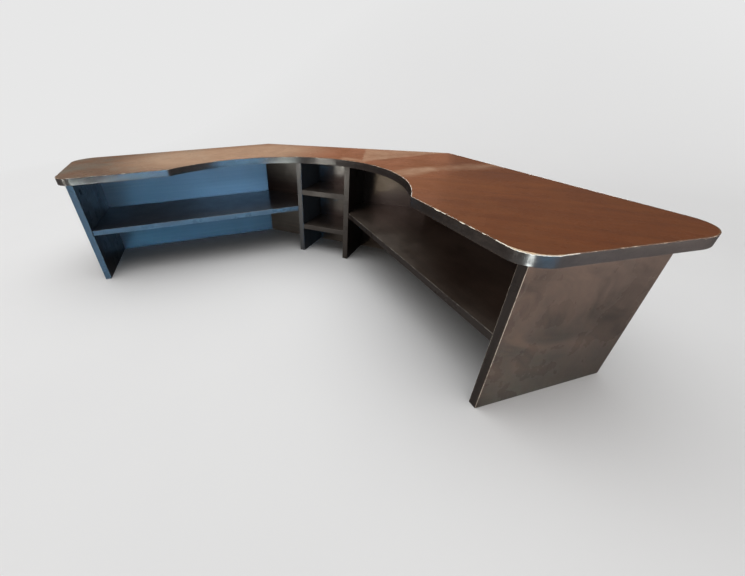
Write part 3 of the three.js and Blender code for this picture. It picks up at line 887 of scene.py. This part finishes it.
# ---------------------------------------------------------------- veneer and bands
def grain_coordinates(t, axes, seed):
    """Coordinates along the grain and in two directions across it, drifting a little."""
    along, across, through = (t.dot(t.place, axis) for axis in axes)
    along = t.plus(along, seed * 3.17)
    drift = t.noise(t.stretch((along, 1.6), (across, 5.0), seed * 1.9), detail=2.0)
    across = t.plus(across, seed * 0.731, t.times(t.minus(drift, 0.5), 0.03))
    return along, across, through


def veneer(name, axes, colours, seed, *, roughness=0.36, coat=0.6, coat_roughness=0.14,
           specular=0.5, dust=0.0, dust_and_light_colour=(0.42, 0.33, 0.27), extra_marks=None,
           wear=0.5, wear_colour=(0.30, 0.19, 0.12), rubbed=0.12, edge_radius=0.0011,
           edge_span=(0.03, 0.2), rings=0.03, spread=0.16):
    """Lacquered wood with dust on its upper faces and rubbed edges.

    axes: directions along the grain, across it and through it; colours: dark, middle, light.
    extra_marks gives further marks, dust and on the top a patch of painted light, and how much of
    the coat they hide. rubbed is the least wear along an edge, edge_span the range of bend that
    counts as edge. rings is the weight of the rings in the figure, and spread half its range in the
    colour ramp.
    """
    t = Shader(name)
    along, across, through = grain_coordinates(t, axes, seed)

    def fibres(along_scale, across_scale, detail, rough):
        vector = t.stretch((along, along_scale), (across, across_scale), (through, across_scale))
        return t.noise(vector, detail=detail, rough=rough)

    fine = fibres(5.0, 330.0, detail=5.0, rough=0.62)
    broad = fibres(1.3, 42.0, detail=4.0, rough=0.55)
    fibre = fibres(22.0, 1100.0, detail=3.0, rough=0.6)
    pores = t.ramp(fibres(55.0, 1500.0, detail=1.0, rough=0.4), [(0.60, 0.0), (0.70, 1.0)])
    ring_wave = t.math("SINE", t.times(t.plus(across, t.times(broad, 0.035)), 420.0))
    figure = t.plus(t.times(fine, 0.42), t.times(broad, 0.38), t.times(fibre, 0.20),
                    t.times(ring_wave, rings))
    dark, middle, light = colours
    colour = t.ramp(figure, [(0.5 - spread, dark), (0.50, middle), (0.5 + spread, light)])
    colour = t.mix(t.times(pores, 0.55), colour, shade(dark, 0.35))
    cloud = t.noise(t.place, scale=4.5, detail=3.0, rough=0.5)
    colour = t.mix(t.remap(cloud, (0.35, 0.7), to=(0.0, 0.35)), colour, shade(middle, 0.6))

    smear = t.noise(t.place, scale=11.0, detail=5.0, rough=0.6)
    specks = t.noise(t.place, scale=420.0, detail=2.0, rough=0.6)
    rough = t.plus(t.remap(smear, (0.35, 0.7), to=(roughness - 0.05, roughness + 0.10)),
                   t.times(pores, 0.12))
    coat_rough = t.remap(smear, (0.35, 0.68), to=(coat_roughness * 0.7, coat_roughness * 1.9))
    upward = t.remap(t.dot(t.geometry["Normal"], Z_AXIS), (0.75, 0.98))
    dust_and_light_mask = t.times(t.times(upward, dust),
                    t.times(t.remap(smear, (0.3, 0.65), to=(0.35, 1.0)),
                            t.remap(specks, (0.3, 0.7), to=(0.6, 1.0))))
    if extra_marks:
        more, hidden = extra_marks(t, upward, specks)
        dust_and_light_mask = t.largest(dust_and_light_mask, more)
        coat = t.times(coat, t.minus(1.0, hidden))
    # this mark colour is dust, and on the top also a wedge of painted light
    colour = t.mix(dust_and_light_mask, colour, dust_and_light_colour)
    rough = t.math("ADD", rough, t.times(dust_and_light_mask, 0.5), clamp=True)

    # rubbed arrises, found where a bevelled normal leaves the true one
    bevel = t.new("Bevel")
    bevel.samples = 4
    bevel.inputs["Radius"].default_value = edge_radius
    edge = t.minus(1.0, t.dot(bevel.outputs[0], t.geometry["True Normal"]))
    patches = t.noise(t.place, scale=55.0, detail=4.0, rough=0.65)
    worn_edge = t.times(t.remap(edge, edge_span),
                        t.remap(patches, (0.50, 0.62), to=(rubbed, 1.0)), wear)
    colour = t.mix(worn_edge, colour, wear_colour)

    height = t.plus(t.times(fine, 0.5), t.times(pores, -0.8))
    normal = t.bump(height, distance=0.00012, strength=0.35)
    ripple = t.noise(t.place, scale=160.0, detail=2.0, rough=0.5)
    coat_normal = t.bump(ripple, distance=0.00006, strength=0.25, normal=normal)
    return t.surface(t.principled({
        "Base Color": colour, "Roughness": rough, "IOR": 1.5, "Specular IOR Level": specular,
        "Coat Weight": coat, "Coat Roughness": coat_rough, "Coat IOR": 1.52,
        "Normal": normal, "Coat Normal": coat_normal}))


def top_dust_and_painted_light(t, upward, specks):
    """Paler marks on the top: a wedge of painted light, a dust streak and a dust lip on the right,
    and a broad paler film on the left.
    """
    def shifted(scale, amount):
        wander = t.noise(t.place, scale=scale, detail=3.0, rough=0.6, output="Color")
        wander = t.vector("SUBTRACT", wander, (0.5, 0.5, 0.5))
        return t.vector("ADD", t.place, t.vector("MULTIPLY", wander, (amount, amount, 0)))

    patches = t.noise(t.place, scale=26.0, detail=4.0, rough=0.6)
    fray = t.noise(t.place, scale=60.0, detail=4.0, rough=0.65)
    crisp = shifted(scale=38.0, amount=0.014)
    loose = shifted(scale=9.0, amount=0.045)
    # the wedge is a patch of painted light, pale colour standing in for light falling on the top
    painted_light_wedge = t.times(t.beyond(crisp, (119, 205), (74, 345), soft=2.5),
                    t.beyond(crisp, (330, 346), (96, 98), soft=5))
    streak = t.capsule(loose, (292, 35), (345, 110), radius=15, soft=30)
    tail = t.capsule(loose, (345, 110), (490, 208), radius=6, soft=42)
    lip = t.capsule(loose, (70, 172), (135, 146), radius=4, soft=20)
    film = t.capsule(loose, (-455, 10), (-270, 200), radius=95, soft=185)
    # each mark is weighted by how pale it is painted: how thickly the dust lies for the streaks and
    # the lip, how bright the painted light is for the wedge
    streaks = t.largest(t.times(streak, 0.70), t.times(tail, 0.42))
    dust = t.largest(t.times(painted_light_wedge, 0.62), streaks, t.times(lip, 0.6))
    dust = t.times(dust, t.times(t.remap(patches, (0.3, 0.6), to=(0.5, 1.0)),
                                 t.remap(fray, (0.3, 0.6), to=(0.7, 1.0))))
    film = t.times(film, t.remap(patches, (0.25, 0.7), to=(0.75, 1.0)))
    dust = t.largest(dust, t.times(film, 0.85))
    dust = t.times(dust, t.times(upward, t.remap(specks, (0.25, 0.75), to=(0.75, 1.0))))
    return dust, t.times(dust, 0.6)


def end_smudges(sign):
    """Slanting dusty smears across the outer face of an end panel, which is also paler under the
    top and fainter near the bottom.
    """
    outward, forward = wing_axes(sign)

    def extra_marks(t, _upward, _specks):
        a = t.dot(t.place, forward)
        z = t.dot(t.place, Z_AXIS)
        bend = t.noise(t.place, scale=5.0, detail=2.0, rough=0.5)
        bend = t.times(t.minus(bend, 0.5), 0.22)
        cross = t.plus(t.times(a, -0.62), t.times(z, 0.78), bend)
        along = t.plus(t.times(a, 0.78), t.times(z, 0.62))
        coarse = t.noise(t.stretch((cross, 30.0), (along, 7.0), 0.3), distortion=0.2)
        fine = t.noise(t.stretch((cross, 120.0), (along, 26.0), 1.7), rough=0.6, distortion=0.2)
        patches = t.noise(t.stretch((cross, 12.0), (along, 8.0), 4.1), detail=3.0)
        smears = t.plus(t.times(coarse, 0.45), t.times(fine, 0.20), t.times(patches, 0.35))
        smears = t.remap(smears, (0.40, 0.64))
        # fainter to the rear and near the bottom, paler under the top
        smears = t.times(smears, t.remap(a, (-0.40, -0.19), to=(0.35, 1.0)))
        smears = t.plus(smears, t.remap(z, (0.20, 0.315), to=(0.0, 0.35)))
        outer = t.remap(t.dot(t.geometry["Normal"], outward), (0.5, 0.9))
        smears = t.times(smears, t.remap(z, (0.01, 0.13), to=(0.25, 1.0)), outer, 0.37)
        return smears, smears
    return extra_marks


def bare_board():
    t = Shader("bare_board")
    grit = t.noise(t.place, scale=900.0, detail=3.0, rough=0.7)
    colour = t.ramp(grit, [(0.3, (0.66, 0.54, 0.42)), (0.7, (0.95, 0.88, 0.80))])
    return t.surface(t.principled({
        "Base Color": colour, "Roughness": 0.9,
        "Normal": t.bump(grit, distance=0.0003, strength=0.6)}))


def worn_arris(name, dark, pale, cover):
    """An arris rubbed through in places; cover is how much of it is pale, and near full cover the
    pale line is a painted highlight as well as wear.
    """
    t = Shader(name)
    patches = t.noise(t.place, scale=85.0, detail=4.0, rough=0.65)
    grit = t.noise(t.place, scale=700.0, detail=2.0, rough=0.6)
    rubbed = t.remap(t.plus(t.times(patches, 0.75), t.times(grit, 0.25)),
                     (0.62 - cover * 0.25, 0.72 - cover * 0.25))
    return t.surface(t.principled({
        "Base Color": t.mix(rubbed, dark, pale), "Roughness": 0.6,
        "Normal": t.bump(grit, distance=0.0001, strength=0.4)}))


def give(node, *materials):
    mesh = PIECES[node].data
    faces = [p.material_index for p in mesh.polygons]   # clear() sets them all to 0
    mesh.materials.clear()
    for material in materials:
        mesh.materials.append(material)
    mesh.polygons.foreach_set("material_index", faces)


# dark, middle and light of each wood
CARCASS = ((0.0075, 0.0050, 0.0042), (0.017, 0.0115, 0.0092), (0.033, 0.022, 0.0165))
TOP = ((0.097, 0.0270, 0.0062), (0.165, 0.0495, 0.0112), (0.225, 0.0730, 0.0190))
BAND = ((0.012, 0.0085, 0.0075), (0.024, 0.018, 0.0155), (0.044, 0.033, 0.028))
FRONT_BAND = dict(roughness=0.42, coat_roughness=0.28)
INNER_BAND = dict(roughness=0.44, coat_roughness=0.30, wear=0.6)
# dust on the wing shelves; the left shelf's dust is tinted blue-grey, painted cool light over the
# real dust
SHELF_DUST_AND_LIGHT = {
    "left": dict(dust=0.07, dust_and_light_colour=(0.34, 0.36, 0.39)),
    "right": dict(dust=0.13),
}

BARE = bare_board()
WORN_TOP = worn_arris("worn_top_arris", (0.12, 0.055, 0.028), (0.56, 0.42, 0.30), cover=0.45)
# the right end's front arris: rubbed, and painted pale almost all along as a painted highlight
WORN_AND_HIGHLIT_END = worn_arris("worn_end_arris", (0.30, 0.27, 0.235), (0.86, 0.82, 0.74), cover=0.9)
WORN_EDGE = worn_arris("worn_arris", (0.06, 0.05, 0.042), (0.25, 0.225, 0.195), cover=0.6)


def dress_top():
    # the top's pale dust colour also paints its wedge of painted light
    wood = veneer("veneer_top", (X_AXIS, Y_AXIS, Z_AXIS), TOP, 0.0, roughness=0.42, coat=0.32,
                  coat_roughness=0.22, dust=0.022, dust_and_light_colour=(0.50, 0.405, 0.375),
                  extra_marks=top_dust_and_painted_light, wear=0.8, wear_colour=(0.62, 0.45, 0.31), rubbed=0.4,
                  edge_radius=0.0014, edge_span=(0.004, 0.06), rings=0.0144, spread=0.24)
    give("top_panel", wood, BARE, WORN_TOP)
    band = veneer("band_top", (X_AXIS, Z_AXIS, Y_AXIS), BAND, 1.0, roughness=0.50, specular=0.15,
                  coat=0.8, coat_roughness=0.16, wear=0.8, wear_colour=(0.55, 0.45, 0.36),
                  rubbed=0.3)
    give("top_front_edge_band", band, BARE, WORN_TOP)
    give("top_rear_edge_band", band)


def dress_wing(side, sign, seed):
    along, forward = wing_axes(sign)
    give(f"{side}_end_panel",
         veneer(f"{side}_end_veneer", (Z_AXIS, forward, along), CARCASS, seed, roughness=0.42,
                coat=0.45, coat_roughness=0.22, extra_marks=end_smudges(sign), wear=0.6,
                wear_colour=(0.50, 0.43, 0.36), rubbed=0.3, dust_and_light_colour=(0.47, 0.34, 0.275)))
    give(f"{side}_back_panel",
         veneer(f"{side}_back_veneer", (along, Z_AXIS, forward), CARCASS, seed + 0.4))
    give(f"{side}_shelf",
         veneer(f"{side}_shelf_veneer", (along, forward, Z_AXIS), CARCASS, seed + 0.8,
                coat_roughness=0.12, **SHELF_DUST_AND_LIGHT[side]))
    give(f"{side}_divider",
         veneer(f"{side}_divider_veneer", (Z_AXIS, Y_AXIS, X_AXIS), CARCASS, seed + 1.2))
    # on the right the end band's arris takes the pale line that is partly a painted highlight
    give(f"{side}_end_panel_edge_band",
         veneer(f"{side}_end_band", (Z_AXIS, along, forward), BAND, seed + 1.5, **FRONT_BAND,
                wear=0.8, wear_colour=(0.40, 0.36, 0.31), rubbed=0.45),
         WORN_AND_HIGHLIT_END if side == "right" else WORN_EDGE)
    give(f"{side}_shelf_edge_band",
         veneer(f"{side}_shelf_band", (along, Z_AXIS, forward), BAND, seed + 1.8, **FRONT_BAND,
                wear=0.9, wear_colour=(0.45, 0.39, 0.33), rubbed=0.25),
         WORN_EDGE)
    give(f"{side}_divider_edge_band",
         veneer(f"{side}_divider_band", (Z_AXIS, X_AXIS, Y_AXIS), BAND, seed + 2.1,
                **INNER_BAND))


dress_top()
dress_wing("left", -1, seed=2.0)
dress_wing("right", 1, seed=5.0)
give("centre_back_panel", veneer("centre_back_veneer", (X_AXIS, Z_AXIS, Y_AXIS), CARCASS, 9.0))
for i, node in enumerate(CUBBY_Z):
    give(node, veneer(f"{node}_veneer", (X_AXIS, Y_AXIS, Z_AXIS), CARCASS, 10.0 + i, dust=0.12))
    give(f"{node}_edge_band",
         veneer(f"{node}_band", (X_AXIS, Z_AXIS, Y_AXIS), BAND, 12.0 + i, **INNER_BAND))


# ---------------------------------------------------------------- fittings' materials
def metal(name, dark, light, roughness, scale):
    t = Shader(name)
    grit = t.noise(t.place, scale=scale, detail=4.0, rough=0.6)
    cloud = t.noise(t.place, scale=scale * 0.12, detail=3.0, rough=0.5)
    tarnish = t.remap(cloud, (0.45, 0.75), to=(0.0, 0.35))
    return t.surface(t.principled({
        "Base Color": t.mix(tarnish, t.mix(grit, dark, light), shade(dark, 0.5)),
        "Metallic": 1.0,
        "Roughness": t.remap(cloud, (0.3, 0.7), to=(roughness * 0.8, roughness * 1.4)),
        "Normal": t.bump(grit, distance=0.00004, strength=0.5)}))


def cap_plastic(colour=(0.020, 0.0135, 0.011), roughness=0.45):
    t = Shader("cap_plastic")
    grit = t.noise(t.place, scale=2600.0, detail=2.0, rough=0.6)
    cloud = t.noise(t.place, scale=60.0, detail=3.0, rough=0.5)
    return t.surface(t.principled({
        "Base Color": t.mix(t.remap(cloud, (0.3, 0.7)), colour, shade(colour, 1.7)),
        "Roughness": t.remap(cloud, (0.3, 0.7), to=(roughness * 0.8, roughness * 1.2)),
        "Normal": t.bump(grit, distance=0.00005, strength=0.5)}))


def beech():
    t = Shader("beech")
    flecks = t.noise(t.vector("MULTIPLY", t.place, (300, 300, 300)), detail=4.0, rough=0.6)
    return t.surface(t.principled({
        "Base Color": t.ramp(flecks, [(0.3, (0.42, 0.27, 0.14)), (0.7, (0.66, 0.47, 0.28))]),
        "Roughness": 0.7, "Normal": t.bump(flecks, distance=0.0001, strength=0.4)}))


ZINC = metal("zinc_plate", (0.60, 0.61, 0.62), (0.72, 0.73, 0.74), roughness=0.32, scale=900.0)
STEEL = metal("rolled_steel", (0.42, 0.43, 0.45), (0.52, 0.53, 0.55), roughness=0.38, scale=700.0)
CAP = cap_plastic()
BEECH = beech()
for node in PIECES:
    if node.startswith("cam_cap"):
        give(node, CAP)
    elif "screw" in node:
        give(node, ZINC)
    elif "corner_plate" in node or "desk_bracket" in node:
        give(node, STEEL)
# the CAD pieces that stay in view
KEPT = {name: o for name, o in NODES.items() if not o.hide_render}
for name, o in KEPT.items():
    o.data.materials.clear()
    o.data.materials.append(BEECH if "dowel" in name else ZINC)

# ---------------------------------------------------------------- floor
PALE = 0.80                 # grey of the background, as the camera sees it
SWEEP_HALF_W = 9.0
SWEEP_BACK = 1.5            # y where the floor starts to curve up
SWEEP_R = 1.6
SWEEP_TOP = 7.0
FLOOR_DROP = 0.0002


def floor_material():
    """A sweep that is pale to the camera and darker to other rays."""
    t = Shader("studio_sweep")
    to_camera = t.new("LightPath").outputs["Is Camera Ray"]
    cloud = t.noise(t.place, scale=2.0, detail=3.0, rough=0.5)
    pale = t.mix(cloud, (0.80, 0.80, 0.80), (0.84, 0.84, 0.835))
    floor = t.principled({"Base Color": t.mix(to_camera, (0.16, 0.15, 0.145), pale),
                          "Roughness": 0.9, "Specular IOR Level": 0.1})
    # far from the hutch it fades into an even background, for the camera only
    x, y, z = (t.dot(t.place, axis) for axis in (X_AXIS, Y_AXIS, Z_AXIS))
    distance = t.math("SQRT", t.plus(t.times(x, x), t.times(y, y), t.times(z, z)))
    far = t.times(t.remap(distance, (1.5, 3.4)), to_camera)
    background = t.new("Emission")
    background.inputs["Color"].default_value = (PALE, PALE, PALE, 1)
    faded = t.mix_shader(far, floor, background.outputs[0])
    # its faces point down, so a camera below looks through their front sides
    below = t.times(t.minus(1.0, t.geometry["Backfacing"]), to_camera)
    clear = t.new("BsdfTransparent").outputs[0]
    return t.surface(t.mix_shader(below, faded, clear))


def studio_sweep():
    profile = [(-9.0, 0.0), (-4.0, 0.0), (-1.0, 0.0), (SWEEP_BACK, 0.0)]    # (y, z) pairs
    for i in range(1, 25):
        a = i * math.pi / 2 / 24
        profile.append((SWEEP_BACK + SWEEP_R * math.sin(a), SWEEP_R - SWEEP_R * math.cos(a)))
    profile.append((SWEEP_BACK + SWEEP_R, SWEEP_TOP))
    bm = bmesh.new()
    columns = [[bm.verts.new((x, y, z - FLOOR_DROP)) for y, z in profile]
               for x in (-SWEEP_HALF_W, -3.0, 0.0, 3.0, SWEEP_HALF_W)]
    for a, b in zip(columns, columns[1:]):
        for k in range(len(profile) - 1):
            bm.faces.new((a[k], b[k], b[k + 1], a[k + 1]))
    o = object_from(bm, "studio_sweep")
    for face in o.data.polygons:
        face.use_smooth = True
    o.data.materials.append(floor_material())
    return o


floor = studio_sweep()

# ---------------------------------------------------------------- light groups
RIGHT_END = ("right_end_panel_finished", "right_end_panel_edge_band_finished")
GROUP_TESTS = {
    "all": lambda n: True,
    "top": lambda n: n.startswith("top_panel"),
    "bays": lambda n: not n.startswith("top_panel") and n != "right_end_panel_finished",
    "left": lambda n: n.startswith("left_") and n != "left_back_panel_finished",
    "left_all": lambda n: n.startswith("left_"),
    "left_back": lambda n: n == "left_back_panel_finished",
    "left_end": lambda n: n.startswith("left_end_panel"),
    "band": lambda n: n.startswith("top_front_edge_band"),
    "centre": lambda n: n.startswith("centre_back"),
    "right_shelf": lambda n: n == "right_shelf_finished",
    "right_end": lambda n: n in RIGHT_END,
    "end_band": lambda n: n in RIGHT_END or n == "top_front_edge_band_finished",
}
GROUPS = {}
for name, belongs in GROUP_TESTS.items():
    GROUPS[name] = bpy.data.collections.new("lit_" + name)
    for o in [*PIECES.values(), *KEPT.values()]:
        if belongs(o.name):
            GROUPS[name].objects.link(o)
GROUPS["floor"] = bpy.data.collections.new("floor_only")
GROUPS["floor"].objects.link(floor)

# ---------------------------------------------------------------- lights
# name, place, aim, width, height (m), strength in red, green and blue (units of 10 W), group lit
LIGHTS = [
    ("floor_light", (-1.2, 0.4, 3.8), (-1.2, 0.4, 0), 8.0, 7.0, (25.0, 25.2, 25.5), "floor"),
    ("top_light", (-0.3, 0.2, 2.6), (0, 0, 0.2), 2.4, 2.0, (5.9, 4.6, 2.95), "top"),
    ("top_left", (-2.2, 0.9, 0.6), (-0.3, 0, 0.33), 1.4, 0.9, (0.06, 0.14, 0.13), "top"),
    ("top_back", (-0.6, 2.3, 0.75), (0.0, 0.1, 0.33), 1.4, 0.9, (0.25, 0.11, 0.06), "top"),
    ("soft_high", (-0.3, 0.2, 2.6), (0, 0, 0.2), 2.4, 2.0, (6.2, 7.0, 7.0), "bays"),
    ("window_under", (1.15, -2.35, -0.62), (-0.45, 0.05, 0.2), 3.0, 1.1, (0.8, 2.3, 3.9), "left"),
    ("window_back", (1.15, -2.35, -0.62), (-0.45, 0.05, 0.2), 3.0, 1.1, (0.55, 1.65, 3.0),
     "left_back"),
    ("window_low", (2.0, -1.7, 0.35), (-0.5, 0.05, 0.2), 1.5, 0.6, (2.1, 3.6, 5.5), "left_all"),
    ("window_high", (2.2, -1.9, 1.3), (-0.5, 0.05, 0.2), 1.5, 1.2, (0.3, 1.0, 2.0), "left_all"),
    ("window_band", (1.7, -1.85, -0.06), (-0.45, 0.05, 0.32), 2.0, 0.3, (0.75, 1.8, 2.9), "band"),
    ("band_high", (2.2, -1.9, 1.3), (-0.45, 0.05, 0.32), 1.5, 1.2, (0.3, 0.5, 0.7), "band"),
    ("corner_band", (0.55, -2.25, -0.50), (0.58, -0.35, 0.32), 0.45, 0.3, (1.95, 2.05, 2.0),
     "band"),
    ("curve_band", (0.1, -2.2, -0.12), (-0.05, 0.15, 0.32), 0.45, 0.25, (0.52, 0.58, 0.55),
     "band"),
    ("front_under_a", (-1.2, -2.0, -0.15), (-0.05, 0.15, 0.3), 0.5, 0.4, (0.88, 0.84, 0.75),
     "bays"),
    ("front_high", (-0.9, -2.6, 1.2), (0, 0, 0.2), 1.2, 1.0, (1.45, 1.0, 0.85), "bays"),
    ("corner_under", (-0.62, -2.25, -0.42), (0.22, 0.15, 0.27), 0.34, 0.5, (0.23, 0.175, 0.12),
     "centre"),
    ("end_under", (1.9, -0.35, -0.9), (0.6, -0.35, 0.2), 1.0, 0.9, (0.11, 0.12, 0.105),
     "end_band"),
    ("end_low", (2.5, -0.5, 0.25), (0.6, -0.2, 0.2), 1.0, 0.4, (2.3, 1.8, 1.55), "end_band"),
    ("end_front", (1.6, -2.2, 0.9), (0.6, -0.3, 0.15), 0.9, 0.9, (0.3, 0.25, 0.22), "right_end"),
    ("shelf_low", (-1.0, -1.3, 0.55), (0.45, -0.1, 0.17), 0.8, 0.4, (2.5, 2.05, 1.85),
     "right_shelf"),
    ("rear_fill", (0.3, 3.0, 0.9), (0, 0.2, 0.15), 2.4, 1.2, (10.0, 9.6, 9.2), "bays"),
]


def area_light(name, place, aim, width, height, strength, lit):
    light = bpy.data.lights.new(name, "AREA")
    light.shape = "RECTANGLE"
    light.size, light.size_y = width, height
    light.energy = 10 * max(strength)
    light.color = tuple(c / max(strength) for c in strength)
    o = bpy.data.objects.new(name, light)
    bpy.context.scene.collection.objects.link(o)
    o.location = place
    o.rotation_mode = "QUATERNION"
    o.rotation_quaternion = (Vector(aim) - Vector(place)).to_track_quat("-Z", "Y")
    o.visible_camera = False
    o.light_linking.receiver_collection = GROUPS[lit]
    if place[2] < 0:        # stands in for what a glossy desk would mirror, so the floor is no bar
        o.light_linking.blocker_collection = GROUPS["left_end" if lit == "left_back" else "all"]
        light.cycles.use_multiple_importance_sampling = False


for entry in LIGHTS:
    area_light(*entry)


# ---------------------------------------------------------------- world and camera
def studio_world():
    """A weak warm fill that the camera sees as the pale background."""
    world = bpy.data.worlds.new("studio")
    bpy.context.scene.world = world
    world.use_nodes = True
    nodes, links = world.node_tree.nodes, world.node_tree.links
    fill = nodes["Background"]
    fill.inputs["Color"].default_value = (1.0, 0.967, 0.933, 1)
    fill.inputs["Strength"].default_value = 0.30
    pale = nodes.new("ShaderNodeBackground")
    pale.inputs["Color"].default_value = (PALE, PALE, PALE, 1)
    pale.inputs["Strength"].default_value = 1.0
    ray = nodes.new("ShaderNodeLightPath")
    both = nodes.new("ShaderNodeMixShader")
    links.new(ray.outputs["Is Camera Ray"], both.inputs[0])
    links.new(fill.outputs[0], both.inputs[1])
    links.new(pale.outputs[0], both.inputs[2])
    links.new(both.outputs[0], nodes["World Output"].inputs["Surface"])


# angles in radians: yaw clockwise from +y, pitch downwards, roll about the view
CAMERA_YAW, CAMERA_PITCH, CAMERA_ROLL = -0.526987, 0.592976, -0.040066
CAMERA_PLACE = (0.52334, (CENTRE_Q - 1569.40) * MM, 0.53910)


def camera():
    data = bpy.data.cameras.new("photo_view")
    o = bpy.data.objects.new("photo_view", data)
    bpy.context.scene.collection.objects.link(o)
    data.sensor_width = 36
    data.lens = 15.844349
    data.shift_x = 0.0827919463
    data.shift_y = 0.0209395973
    data.clip_start = 0.02
    ahead = Vector((math.sin(CAMERA_YAW) * math.cos(CAMERA_PITCH),
                    math.cos(CAMERA_YAW) * math.cos(CAMERA_PITCH), -math.sin(CAMERA_PITCH)))
    level = Vector((math.cos(CAMERA_YAW), -math.sin(CAMERA_YAW), 0))
    upright = level.cross(ahead)
    right = level * math.cos(CAMERA_ROLL) + upright * math.sin(CAMERA_ROLL)
    up = -level * math.sin(CAMERA_ROLL) + upright * math.cos(CAMERA_ROLL)
    rows = [(right[i], up[i], -ahead[i], CAMERA_PLACE[i]) for i in range(3)]
    o.matrix_world = Matrix((*rows, (0, 0, 0, 1)))
    bpy.context.scene.camera = o


studio_world()
camera()
bpy.context.scene.view_settings.view_transform = "Standard"
